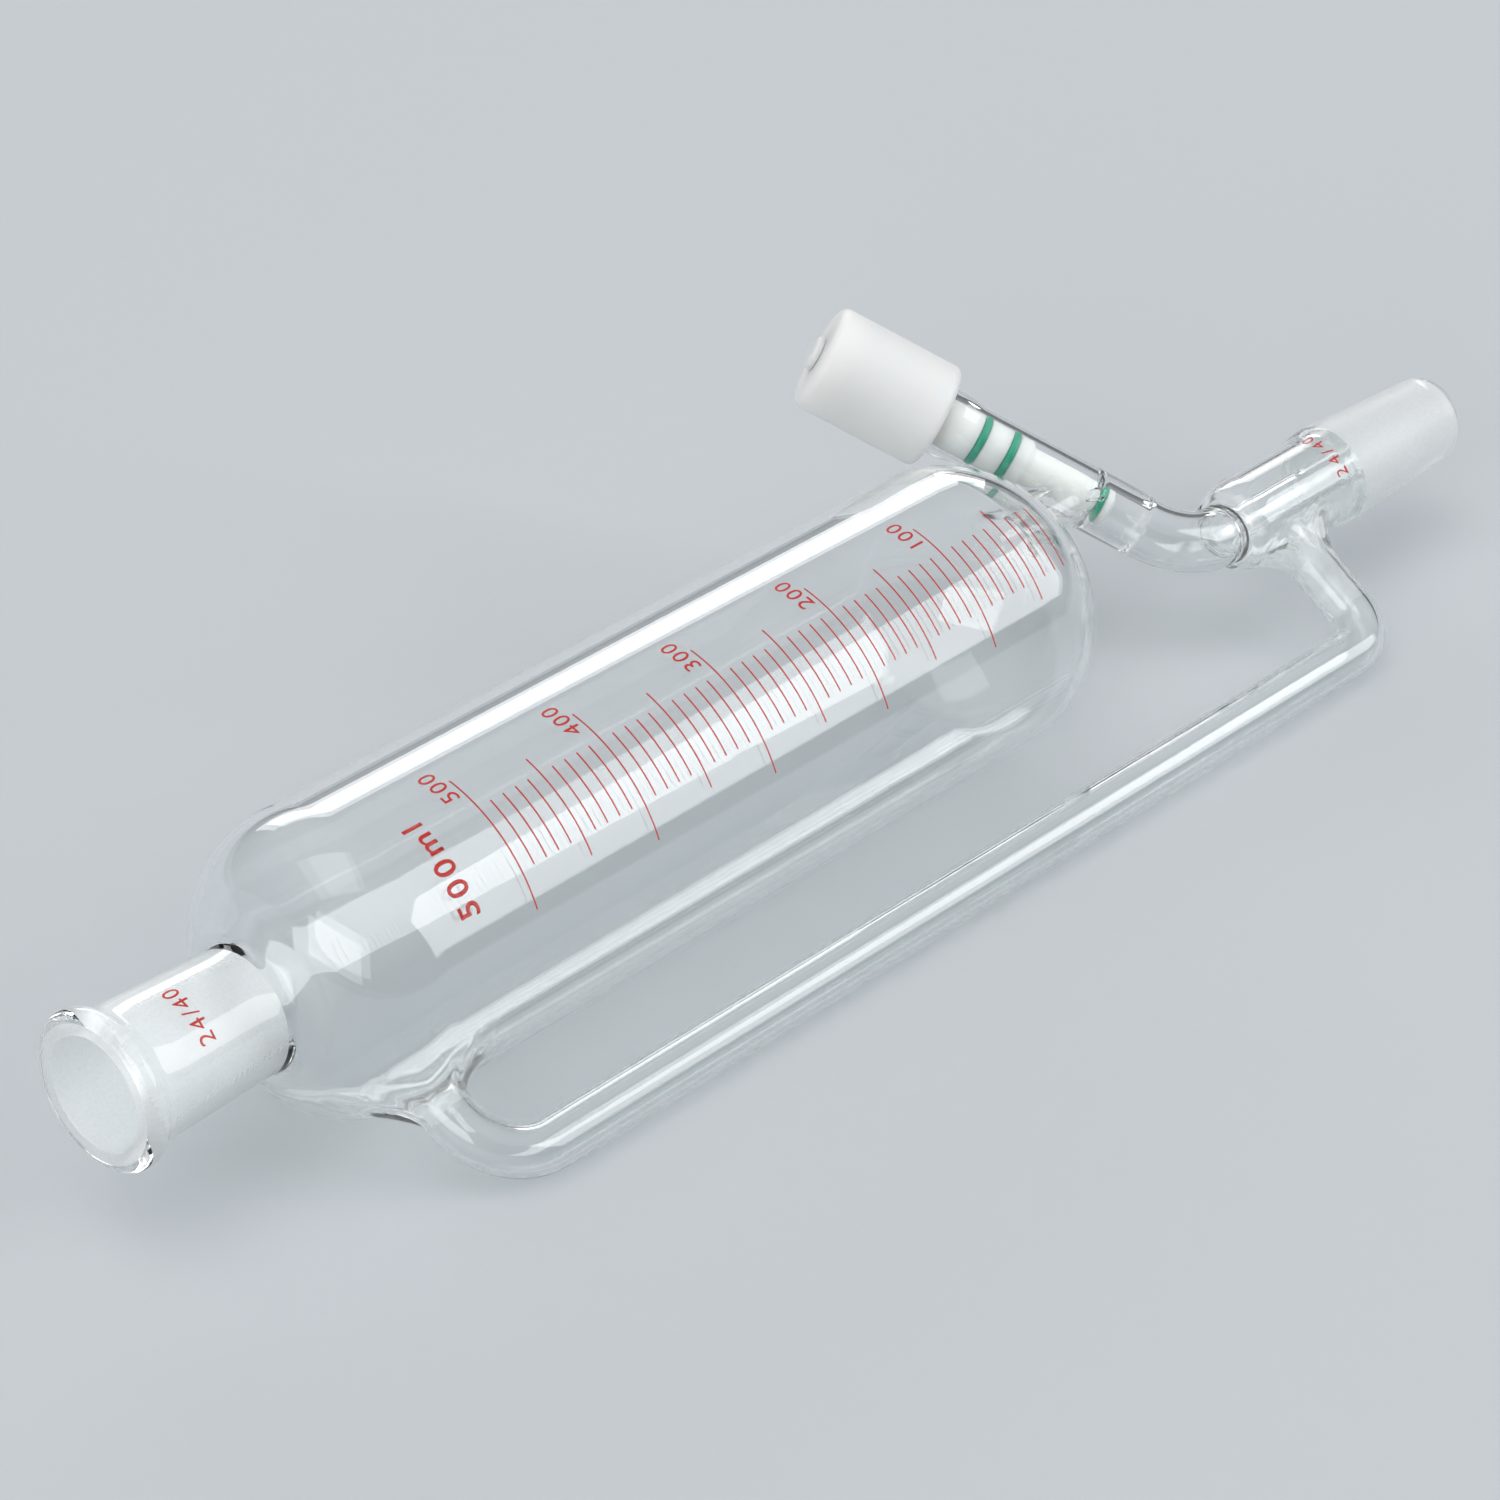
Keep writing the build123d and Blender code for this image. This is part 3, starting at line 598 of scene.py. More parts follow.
def socket_outside():
    """Outline of the socket from its mouth over the rolled rim to its end."""
    rim_r = RIM_FLAT_R + RIM_ROUND
    bead = [(0, SOCKET_BORE_R + 0.2), (0, RIM_FLAT_R)]
    bead += [(RIM_ROUND - RIM_ROUND * cos(a), RIM_FLAT_R + RIM_ROUND * sin(a))
             for a in arc(0, pi / 2, 7)]
    fall_x, fall_r, body_len = 7.5, 14.6, 31.5
    fall = bezier((RIM_ROUND, rim_r), (4.4, rim_r), (5.2, fall_r + 0.15), (fall_x, fall_r), 8)[1:]
    body = [(x, fall_r - 1.2 * (x - fall_x) / body_len) for x in arc(fall_x, 37.5, 8)]
    return bead + plain(fall) + body


def shoulder_start(neck, first):
    """The curve from the socket's end, through a soft hollow, up to the shoulder."""
    (x0, r0), (x1, r1) = neck, first
    slope_end = (reservoir_outer(x1 + 0.1) - reservoir_outer(x1)) / 0.1
    reach = 0.45 * (x1 - x0)
    return plain(bezier((x0, r0), (x0 + reach, r0 + 0.1),
                        (x1 - reach, r1 - reach * slope_end), (x1, r1), 9)[1:-1])


def socket_inside():
    """Outline of the ground taper, without the curve that leads into the reservoir."""
    return [(0, SOCKET_BORE_R + 0.2), (0.6, SOCKET_BORE_R)] + [
        (x, SOCKET_BORE_R - TAPER_SLOPE * x) for x in np.linspace(3, SOCKET_LEN, 10)]


def reservoir_skin(shell, count, lead, ground, window_x, shape, radius, depth, cap_r):
    """One side of the wall, from the mouth to the cap's ring, with the foot's window open."""
    turn = arc(0, 1, 16)
    shelf = [(float(base_x(depth, radius, r)), float(r))
             for r in radius * np.cos(turn * np.arccos(cap_r / radius))]
    start = len(lead)
    stations = lead + [(x, float(shape(x))) for x in window_x]
    stations += [(x, radius) for x in arc(FOOT_X1, BASE_X, 28)] + shelf
    slots = [FROSTED] * ground + [CLEAR] * (len(stations) - ground)
    window = centred_window(start, FOOT_CELLS, FOOT_HALF, count)
    rings = shell.grid([circle((x, 0.0), (1, 0), r, count) for x, r in stations], slots,
                       [window])
    return rings[-1], border(rings, window)


def reservoir_and_socket(shell, foot_spread, waver):
    """Socket, shoulder, cylinder and base as one wall, open where outlet and arm join it."""
    lead = socket_outside()
    lead += shoulder_start(lead[-1], (FOOT_X0, float(reservoir_outer(FOOT_X0))))
    outer, foot = reservoir_skin(
        shell, RES_FACETS, lead, 1, np.linspace(FOOT_X0, FOOT_X1, FOOT_CELLS + 1),
        reservoir_outer, RES_R, BASE_LEN, CAP_R)

    taper = socket_inside()
    lip_x = FOOT_X0 + INNER_LAG
    lip = (lip_x, float(reservoir_inner(lip_x)))
    lead = taper + plain(bezier(taper[-1], (42.5, 9.95), (44.4, 10.4), lip, 8)[1:-1])
    inner, foot_in = reservoir_skin(
        shell, RES_FACETS, lead, len(taper) - 1, np.linspace(lip_x, FOOT_X1, FOOT_CELLS + 1),
        reservoir_inner, BORE_R, BASE_LEN - WALL, CAP_R - 1)

    # the base's cap, open where the outlet neck leaves it off centre
    caps = []
    for ring, depth, radius, tube_r, reach, rise, waves in (
            (outer, BASE_LEN, RES_R, OUTLET_R, 2.6, 2.6, waver),
            (inner, BASE_LEN - WALL, BORE_R, OUTLET_BORE_R, 1.9, 2.4, waver * 0.5)):
        caps.append(branch(
            shell, ring, (0.0, OUTLET_E), (1, 0), (0, 1),
            lambda u, v, d=depth, q=radius: base_x(d, q, np.hypot(OUTLET_E + u, v)),
            tube_r, BASE_END + 3.4, (tube_r + reach, 0, 0), (rise, 0, 0), waves,
            phase=1.3, rows=CAP_ROWS))

    # the arm's foot, a trumpet drawn out along the reservoir
    feet = []
    for loop, shape, tube_r, reach, rise, waves in (
            (foot, reservoir_outer, ARM_R, (foot_spread, 1.5, 1.5), (5.0, -0.8, 0.4),
             waver * 1.7),
            (foot_in, reservoir_inner, ARM_BORE_R, (foot_spread - 0.35, 2.3, 1.1),
             (4.8 + WALL, -0.6, 0.4), waver)):
        feet.append(branch(
            shell, loop, (ARM_X1, 0.0), (0, -1), (1, 0),
            lambda u, v, f=shape: np.sqrt(np.maximum(f(ARM_X1 + u) ** 2 - v * v, 0.01)),
            tube_r, ARM_OFF - ARM_BEND1 - SEAL_END, reach, rise, waves, phase=0.4, turns=16))
    return caps, feet


# The valve's barrel, the outlet bend, the chamber and the cone share one path:
# in along the valve's axis, round the bend, and out along the cone's axis.
MOUTH_D = 57.0
CORNER_D = -(TIP_E + LOW_OFF) / VALVE_SIN
TURN = atan2(VALVE_SIN, VALVE_COS)
BEND_REACH = BEND_RADIUS * tan(TURN / 2)
BEND_S = MOUTH_D - CORNER_D - BEND_REACH
BEND_ARC = BEND_RADIUS * TURN
BEND_END_X = TIP_X - VALVE_COS * CORNER_D + BEND_REACH
INWARD = (VALVE_COS, -VALVE_SIN)


def path_point(s):
    """Centre and direction of the outlet path at length s."""
    if s <= BEND_S:
        d = MOUTH_D - s
        return (TIP_X - VALVE_COS * d, TIP_E + VALVE_SIN * d), INWARD
    if s >= BEND_S + BEND_ARC:
        return (BEND_END_X + s - BEND_S - BEND_ARC, -LOW_OFF), (1.0, 0.0)
    turn = TURN - (s - BEND_S) / BEND_RADIUS
    centre = (BEND_END_X, -LOW_OFF + BEND_RADIUS)
    heading = (cos(turn), -sin(turn))
    return (centre[0] - BEND_RADIUS * sin(turn), centre[1] - BEND_RADIUS * cos(turn)), heading


THREAD_D1, THREAD_D2 = 41.5, 54.5
THREAD_PITCH, THREAD_HEIGHT = 3.0, 0.9
THREAD_FOOT, THREAD_FLANK, THREAD_RUNOUT = 0.72, 0.34, 1.5


def thread_ridge(d, angle, start_d, end_d):
    """Height of a one-start ridge at distance d and angle, tapered at both ends."""
    phase = (d - start_d) / THREAD_PITCH - angle / (2 * pi)
    near = np.abs(phase - np.round(phase)) * THREAD_PITCH
    ridge = np.clip((THREAD_FOOT - near) / THREAD_FLANK, 0, 1)
    ends = np.clip((d - start_d) / THREAD_RUNOUT, 0, 1)
    return THREAD_HEIGHT * ridge * ends * np.clip((end_d - d) / THREAD_RUNOUT, 0, 1)


class Outline:
    """The outlet's wall as path lengths and radii, with the finish that follows each."""

    def __init__(self):
        self.rows = []
        self.slots = []

    def path(self, pairs, slot=CLEAR):
        """Adds (path length, radius) pairs and gives the number of the first."""
        start = len(self.rows)
        self.rows.extend(plain(pairs))
        self.slots.extend([slot] * (len(self.rows) - start))
        return start

    def valve(self, pairs, slot=CLEAR):
        """Adds (distance outward from the tip O-ring, radius) pairs."""
        return self.path([(MOUTH_D - d, r) for d, r in pairs], slot)

    def cone(self, pairs, slot=CLEAR):
        """Adds (station, radius) pairs of the cone's axis."""
        return self.path([(BEND_S + BEND_ARC + x - BEND_END_X, r) for x, r in pairs], slot)


def chamber_wall(x, radius, foot_r, start):
    """Radius of the chamber's dome and tube at x."""
    t = np.clip((np.asarray(x, float) - start) / (RING_X + 8.0 - start), 0, 1)
    return foot_r + (radius - foot_r) * np.sqrt(1 - (1 - t) ** 2.2)


def chamber_outer(x):
    return chamber_wall(x, CHAMBER_R, 7.5, RING_X - 0.2)


def chamber_inner(x):
    return chamber_wall(x, CHAMBER_BORE_R, 6.6, RING_X + 1.6)


def barrel_outer(d):
    return np.full_like(d, BARREL_R)


def barrel_inner(d):
    """Radius of the barrel's bore, closing to the seat."""
    return SEAT_R + (BARREL_BORE_R - SEAT_R) * np.clip((d - 0.95) / 1.6, 0, 1)


def outlet_outside(line, neck_d, leg_x):
    """From the barrel's mouth to the cone's end; gives where neck and leg join."""
    line.valve([(MOUTH_D, 6.5), (MOUTH_D, 7.4), (56.8, 7.8), (56.4, THREADED_R)])
    line.valve([(d, THREADED_R) for d in (*np.arange(55.0, 41.4, -0.25), 40.5, 39.5)])
    line.valve([(38.5 - 6.5 * t, THREADED_R - (THREADED_R - BARREL_R) * (3 * t * t - 2 * t ** 3))
                for t in np.linspace(0, 1, 9)])
    line.valve([(d, BARREL_R) for d in (29, 26, 23, 20.5)])
    neck = line.valve([(d, BARREL_R) for d in neck_d])
    line.valve([(-5.5, BARREL_R), (-8.4, BARREL_R - 0.03), (-10.0, BARREL_R - 0.15),
                (-11.6, BEND_R)])
    line.path([(s, BEND_R) for s in np.linspace(BEND_S + 0.3, BEND_S + BEND_ARC - 2.2, 14)])
    line.cone([(RING_X + dx, BEND_R + dr)
               for dx, dr in ((-1.6, 0.0), (-0.8, 0.06), (-0.35, 0.22), (-0.15, 0.5))], SEALED)
    line.cone([(RING_X + dx, chamber_outer(RING_X + dx))
               for dx in (0.0, 0.2, 0.5, 0.9, 1.4, 1.95)], SEALED)
    leg = line.cone([(x, chamber_outer(x)) for x in leg_x])
    line.cone([(CHAMBER_X1, CHAMBER_R)])
    line.cone(bezier((CHAMBER_X1, CHAMBER_R), (CHAMBER_X1 + 2.4, CHAMBER_R),
                     (CHAMBER_X1 + 2.6, CONE_R + 0.1), (CHAMBER_X1 + 5.3, CONE_R), 8)[1:])
    line.slots[-1] = FROSTED                   # the ground zone, short of the polished end
    line.cone([(CONE_START + t, CONE_R - TAPER_SLOPE * t) for t in np.linspace(1.0, 38.0, 14)],
              FROSTED)
    line.slots[-1] = CLEAR
    line.cone([(CONE_END - dx, r)
               for dx, r in ((1.4, 10.02), (0.9, 9.92), (0.4, 9.65), (0.12, 9.3), (0.0, 8.95),
                             (0.15, 8.5), (0.6, 8.15), (1.3, 8.05))])
    return neck, leg


def outlet_inside(line, neck_d, leg_x):
    """Back through cone, chamber, drip tube, bend and bore; gives where leg and neck join."""
    line.cone([(CONE_START + t, CONE_BORE_R - TAPER_SLOPE * t) for t in np.linspace(37, 1, 10)])
    line.cone(bezier((CHAMBER_X1 + 5.3, CONE_BORE_R), (CHAMBER_X1 + 2.8, CONE_BORE_R + 0.05),
                     (CHAMBER_X1 + 2.2, CHAMBER_BORE_R), (CHAMBER_X1, CHAMBER_BORE_R), 6))
    leg_x = leg_x[::-1].copy()
    leg_x[-1] = LEG_X0 + 1.2
    leg = line.cone([(x, chamber_inner(x)) for x in leg_x])
    # the ring seal: the chamber's wall folds back and tucks into the drip tube
    fold = bezier((RING_X + 3.7, float(chamber_inner(RING_X + 3.7))), (RING_X + 2.4, 7.9),
                  (RING_X + 1.4, 7.1), (RING_X + 1.3, 6.1), 6)[1:]
    tuck = bezier((RING_X + 1.3, 6.1), (RING_X + 1.25, 5.1), (RING_X + 2.3, DRIP_R),
                  (RING_X + 4.5, DRIP_R), 6)[1:]
    line.cone([*fold, *tuck], SEALED)
    # out along the drip tube, round its tip, and back up its bore
    line.cone([(x, DRIP_R) for x in np.linspace(RING_X + 8, DRIP_TIP_X - 1, 12)])
    line.cone([(DRIP_TIP_X - dx, r) for dx, r in ((0.4, 4.4), (0.05, 4.0), (0.0, 3.75),
                                                  (0.1, 3.35), (0.5, 3.15), (1.2, 3.1))])
    line.cone([(x, DRIP_BORE_R) for x in np.linspace(DRIP_TIP_X - 6, RING_X + 5, 11)])
    line.cone(bezier((RING_X + 3.1, DRIP_BORE_R), (RING_X + 0.6, DRIP_BORE_R),
                     (RING_X - 0.4, BEND_BORE_R), (RING_X - 2.4, BEND_BORE_R), 8))
    line.path([(s, BEND_BORE_R) for s in np.linspace(BEND_S + BEND_ARC - 3, BEND_S + 0.3, 13)])
    line.valve(bezier((-12.0, BEND_BORE_R), (-10.4, BEND_BORE_R), (-10.6, SEAT_R),
                      (-8.4, SEAT_R), 7))
    neck = line.valve([(d, barrel_inner(d)) for d in neck_d[::-1]])
    line.valve([(d, BARREL_BORE_R) for d in (20.5, 23, 26, 29, 32, 36, 40, 44, 48, 52, 55.5)])
    line.valve([(56.6, 5.95), (56.9, 6.15), (MOUTH_D, 6.5)])
    return leg, neck


def barrel_height(radius_at):
    """Height of the barrel's wall above the main axis's origin, towards the reservoir."""
    def height(u, v):
        e = OUTLET_E + np.asarray(u, float) - TIP_E
        d = e / VALVE_SIN
        for _ in range(30):
            off = -np.sqrt(np.maximum(radius_at(d) ** 2 - v * v, 0.01))
            d = (e - VALVE_COS * off) / VALVE_SIN
        return -(TIP_X + (off - e * VALVE_COS) / VALVE_SIN)
    return height


def barrel_bend_and_cone(shell, waver):
    """Barrel, bend, ring seal, chamber, cone and drip tube in one closed wall."""
    count = BARREL_FACETS
    neck_d = np.linspace(NECK_D + NECK_ABOVE, NECK_D - NECK_BELOW, NECK_CELLS + 1)
    leg_x = np.linspace(LEG_X0, LEG_X1, LEG_CELLS + 1)
    line = Outline()
    neck, leg = outlet_outside(line, neck_d, leg_x)
    leg_in, neck_in = outlet_inside(line, neck_d, leg_x)
    rings = []
    for k, (s, r) in enumerate(line.rows):
        centre, heading = path_point(s)
        d = MOUTH_D - s
        thread = None
        if k < neck and THREAD_D1 <= d <= THREAD_D2:
            thread = (lambda angle, d=d: thread_ridge(d, angle, THREAD_D1, THREAD_D2))
        rings.append(circle(centre, heading, r, count, thread))
    necks_open = [centred_window(start, NECK_CELLS, NECK_HALF, count)
                  for start in (neck, neck_in)]
    legs_open = [centred_window(start, LEG_CELLS, LEG_HALF, count) for start in (leg, leg_in)]
    shell.grid(rings, line.slots, necks_open + legs_open)

    necks = []
    for window, radius_at, tube_r, reach, rise, waves in zip(
            necks_open, (barrel_outer, barrel_inner), (OUTLET_R, OUTLET_BORE_R),
            ((OUTLET_R + 1.45, 0.5, 0.35), (OUTLET_BORE_R + 1.05, 0.3, 0.2)),
            ((2.0, 0.5, 0.1), (1.35, 0.4, 0.05)), (waver * 0.5, 0.0)):
        necks.append(branch(shell, border(rings, window), (0.0, OUTLET_E), (-1, 0), (0, 1),
                            barrel_height(radius_at), tube_r, -(BASE_END + 7.0), reach, rise,
                            waves, phase=2.2, turns=7))
    legs = []
    for window, shape, tube_r, reach, rise, waves in zip(
            legs_open, (chamber_outer, chamber_inner), (ARM_R, ARM_BORE_R),
            ((10.35, -1.1, 2.75), (9.5, -1.1, 2.6)), ((8.65, -0.5, 0.85), (10.2, -0.5, 0.85)),
            (waver * 1.4, waver * 0.4)):
        legs.append(branch(
            shell, border(rings, window), (ARM_X2, -LOW_OFF), (0, -1), (-1, 0),
            lambda u, v, f=shape: np.sqrt(np.maximum(f(ARM_X2 - u) ** 2 - v * v, 0.01)),
            tube_r, ARM_OFF - LOW_OFF - ARM_BEND2 - SEAL_END, reach, rise, waves, phase=0.9,
            turns=12))
    return necks, legs


def side_arm(shell, foot, leg, radius):
    """The arm's two bends and its long run, between the ends of its seals."""
    count = len(foot)

    def bend(x, reach, start):
        """Rings round a quarter turn whose centre lies at x."""
        return [circle((x + reach * cos(a), -ARM_OFF + reach + reach * sin(a)),
                       (-sin(a), cos(a)), radius, count)
                for a in np.linspace(start, start + pi / 2, 15)]

    run_x0, run_x1 = ARM_X1 + ARM_BEND1, ARM_X2 - ARM_BEND2
    run = [circle((x, -ARM_OFF), (1, 0), radius, count)
           for x in np.linspace(run_x0, run_x1, 26)[1:-1]]
    shell.grid([foot, *bend(run_x0, ARM_BEND1, pi), *run, *bend(run_x1, ARM_BEND2, 1.5 * pi),
                leg])


def turned_piece(name, profile, material, count=72, ridge=None):
    """A solid turned on the valve's axis, from (d, r) pairs: closed, or with both ends on it."""
    shell = Shell()
    rings = []
    for d, r in profile:
        centre = (TIP_X - VALVE_COS * d, TIP_E + VALVE_SIN * d)
        shape = None if ridge is None else (lambda angle, d=d, r=r: ridge(d, r, angle))
        rings.append(circle(centre, INWARD, max(r, 0.0), count, shape))
    shell.grid(rings)
    return shell.mesh_object(name, [material], TURNED_CREASE)


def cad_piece(thing, body, slot, *nodes):
    """Puts a piece on its body in place of the nodes it dresses; the slot argument is not used."""
    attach(thing, body)
    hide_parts(*nodes)


# ------------------------------------------------------------------- print
INK_CLEARANCE = 8.0                            # rays start this far outside the wall
INK_FOOT = 0.004 * MM                          # the ink's underside above the glass


def wrap_point(centre, radius, x, angle):
    """World point at station x and angle (0 faces -Y, a quarter turn up) round a line along X."""
    return Vector((ORIGIN.x + x * MM, centre.y - radius * MM * cos(angle),
                   centre.z + radius * MM * sin(angle)))


def text_sheet(text, height, weight, spread):
    """Text as a flat bmesh centred on the origin, in millimetres, cut into strips that bend."""
    curve = bpy.data.curves.new("ink_text", "FONT")
    curve.body = text
    curve.size = 10.0
    curve.resolution_u = 4
    curve.offset = weight
    curve.space_character = spread
    holder = bpy.data.objects.new("ink_text", curve)
    bpy.context.scene.collection.objects.link(holder)
    bpy.context.view_layer.update()
    mesh = bpy.data.meshes.new_from_object(holder.evaluated_get(
        bpy.context.evaluated_depsgraph_get()))
    bpy.data.objects.remove(holder)
    bpy.data.curves.remove(curve)
    sheet = bmesh.new()
    sheet.from_mesh(mesh)
    bpy.data.meshes.remove(mesh)
    low = Vector([min(v.co[i] for v in sheet.verts) for i in range(3)])
    high = Vector([max(v.co[i] for v in sheet.verts) for i in range(3)])
    middle, scale = (low + high) / 2, height / (high.y - low.y)
    for vert in sheet.verts:
        vert.co = (vert.co - middle) * scale
    half = (high.x - low.x) * scale / 2
    for cut in np.arange(-half + 0.5, half, 0.7):
        bmesh.ops.bisect_plane(sheet, geom=sheet.verts[:] + sheet.edges[:] + sheet.faces[:],
                               plane_co=(cut, 0, 0), plane_no=(1, 0, 0))
    return sheet


class InkLayer:
    """Ink laid on the glass: each point finds the wall by a ray towards the axis."""

    def __init__(self, glass, build):
        solid = bmesh.new()
        solid.from_mesh(glass.data)
        self.wall = BVHTree.FromBMesh(solid)
        solid.free()
        self.build = build
        self.work = bmesh.new()

    def drop(self, centre, x, angle, lift):
        """The wall's point under x and angle, raised by lift."""
        outside = wrap_point(centre, RES_R + INK_CLEARANCE, x, angle)
        inward = wrap_point(centre, 0.0, x, angle) - outside
        spot = self.wall.ray_cast(outside, inward.normalized())[0]
        if spot is None:
            raise RuntimeError("a stroke of ink misses the glass")
        return spot + (outside - spot).normalized() * lift

    def lay(self, sheet, centre, mean_r, x0, angle0):
        """Wraps a flat bmesh, its x axis round the glass and its y axis to the socket."""
        extruded = bmesh.ops.extrude_face_region(sheet, geom=sheet.faces[:])
        tops = {v for v in extruded["geom"] if isinstance(v, bmesh.types.BMVert)}
        for vert in sheet.verts:
            lift = self.build if vert in tops else INK_FOOT
            vert.co = self.drop(centre, x0 - vert.co.y, angle0 + vert.co.x / mean_r, lift)
        bmesh.ops.recalc_face_normals(sheet, faces=sheet.faces)
        mesh = bpy.data.meshes.new("ink_part")
        sheet.to_mesh(mesh)
        sheet.free()
        self.work.from_mesh(mesh)
        bpy.data.meshes.remove(mesh)

    def line(self, centre, mean_r, x, middle, half, width):
        """A line round the glass, half to each side of a middle angle, in degrees."""
        length = radians(2 * half) * mean_r
        steps = max(2, int(length / 0.9))
        sheet = bmesh.new()
        rows = [[sheet.verts.new((length * i / steps, side * width / 2, 0)) for side in (-1, 1)]
                for i in range(steps + 1)]
        for a, b in zip(rows, rows[1:]):
            sheet.faces.new((a[0], b[0], b[1], a[1]))
        self.lay(sheet, centre, mean_r, x, radians(middle - half))

    def words(self, text, centre, mean_r, x, angle, height, weight=0.0, spread=1.0):
        """Text centred on x and an angle in degrees; its tops point to the socket."""
        self.lay(text_sheet(text, height, weight, spread), centre, mean_r, x, radians(angle))

    def finish(self, name, material):
        """The whole print as one object."""
        mesh = bpy.data.meshes.new(name)
        self.work.to_mesh(mesh)
        self.work.free()
        mesh.materials.append(material)
        thing = bpy.data.objects.new(name, mesh)
        bpy.context.scene.collection.objects.link(thing)
        return thing


# --------------------------------------------------------------- operators
class FUNNEL_OT_glass(bpy.types.Operator):
    """Blow the funnel's glass as one wall, with its seals and its ground joints"""

    bl_idname = "funnel.glass"
    bl_label = "Glass"

    def execute(self, context):
        look = context.scene.funnel_glass
        waver = look.waver / MM
        shell = Shell()
        caps, feet = reservoir_and_socket(shell, look.foot_spread / MM, waver)
        necks, legs = barrel_bend_and_cone(shell, waver)
        for cap, neck in zip(caps, necks):
            shell.grid([cap, (cap + neck) / 2, neck])
        for foot, leg, radius in zip(feet, legs, (ARM_R, ARM_BORE_R)):
            side_arm(shell, foot, leg, radius)
        glass = shell.mesh_object(
            "glass_body", [borosilicate_material(look.tint), ground_glass_material(look.ground),
                           flame_worked_material(look.tint)], GLASS_CREASE)
        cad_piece(glass, "glass", "glass_clear", "socket_joint", "reservoir", "outlet_neck",
                 "valve_barrel", "outlet_bend", "drip_tube", "vapour_chamber", "cone_joint",
                 "equalising_arm")
        return {"FINISHED"}


# The scale: stations of its lines, their middle angle, and their half spans, in
# degrees, from the longest rank to the shortest. Its figures stand at one angle,
# a little nearer the socket than their line.
LINE_500_X, LINE_STEP, LINE_ML = 88.15, 3.424, 10
SCALE_DEG = 53.4
LINE_SPANS = ((100, 27.9), (50, 20.7), (LINE_ML, 13.5))
FIGURE_DEG, FIGURE_SHIFT, FIGURE_SPREAD = 81.0, 3.2, 1.15
# Capacity and joint sizes: text, line it winds round, radius, station, angle,
# height, added weight and letter spacing.
MARKS = (("500ml", ORIGIN, RES_R, 72.8, SCALE_DEG, 5.2, 0.14, 1.3),
         ("24/40", ORIGIN, 14.2, 18.85, 63.5, 3.7, 0.0, 1.2),
         ("24/40", LOW_CENTRE, CHAMBER_R + 0.5, CHAMBER_X1, 70.0, 3.3, 0.0, 1.38))


class FUNNEL_OT_print(bpy.types.Operator):
    """Print the scale, the capacity and the joint sizes in red enamel"""

    bl_idname = "funnel.print"
    bl_label = "Print"

    def execute(self, context):
        look = context.scene.funnel_print
        ink = InkLayer(bpy.data.objects["glass_body"], look.build)
        for volume in range(500, LINE_ML, -LINE_ML):
            x = LINE_500_X + (500 - volume) / LINE_ML * LINE_STEP
            half = next(span for rank, span in LINE_SPANS if volume % rank == 0)
            ink.line(ORIGIN, RES_R, x, SCALE_DEG, half, look.stroke / MM)
            if volume % 100 == 0:
                ink.words(str(volume), ORIGIN, RES_R, x - FIGURE_SHIFT, FIGURE_DEG,
                          look.figure / MM, spread=FIGURE_SPREAD)
        for mark in MARKS:
            ink.words(*mark)
        scale = ink.finish("scale_print", enamel_material(look.ink))
        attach(scale, "glass")
        return {"FINISHED"}


# The valve's turned parts, in millimetres outward from the tip O-ring.
NOSE_R, NOSE_END_R, TIP_GROOVE_R, TIP_GROOVE_HALF = 4.3, 3.0, 3.0, 0.85
ROD_R, STEM_R, SPINDLE_R, COLLAR_R, PEG_R = 4.45, 5.6, 5.0, 7.4, 3.0
GROOVE_R, GROOVE_HALF, LOW_RING_D, HIGH_RING_D = 4.05, 1.0, 23.2, 30.5
COLLAR_D1, COLLAR_D2 = 58.0, 64.0
KNOB_D1, KNOB_D2, KNOB_R = 40.6, 71.0, 12.2
KNOB_BORE_R, KNOB_HOLE_R, KNOB_CHAMFER = 9.3, 3.3, 0.3
KNOB_THREAD_D1, KNOB_THREAD_D2 = 46.0, 55.5
RING_SQUARENESS = 0.78                         # 1 is round; a squeezed cord is squarer


def eased(profile, reach):
    """A turned profile with every corner softened."""
    index = 1
    while index < len(profile) - 1:
        before = len(profile)
        profile = round_corner(profile, index, reach, 3)
        index += 1 + len(profile) - before
    return profile


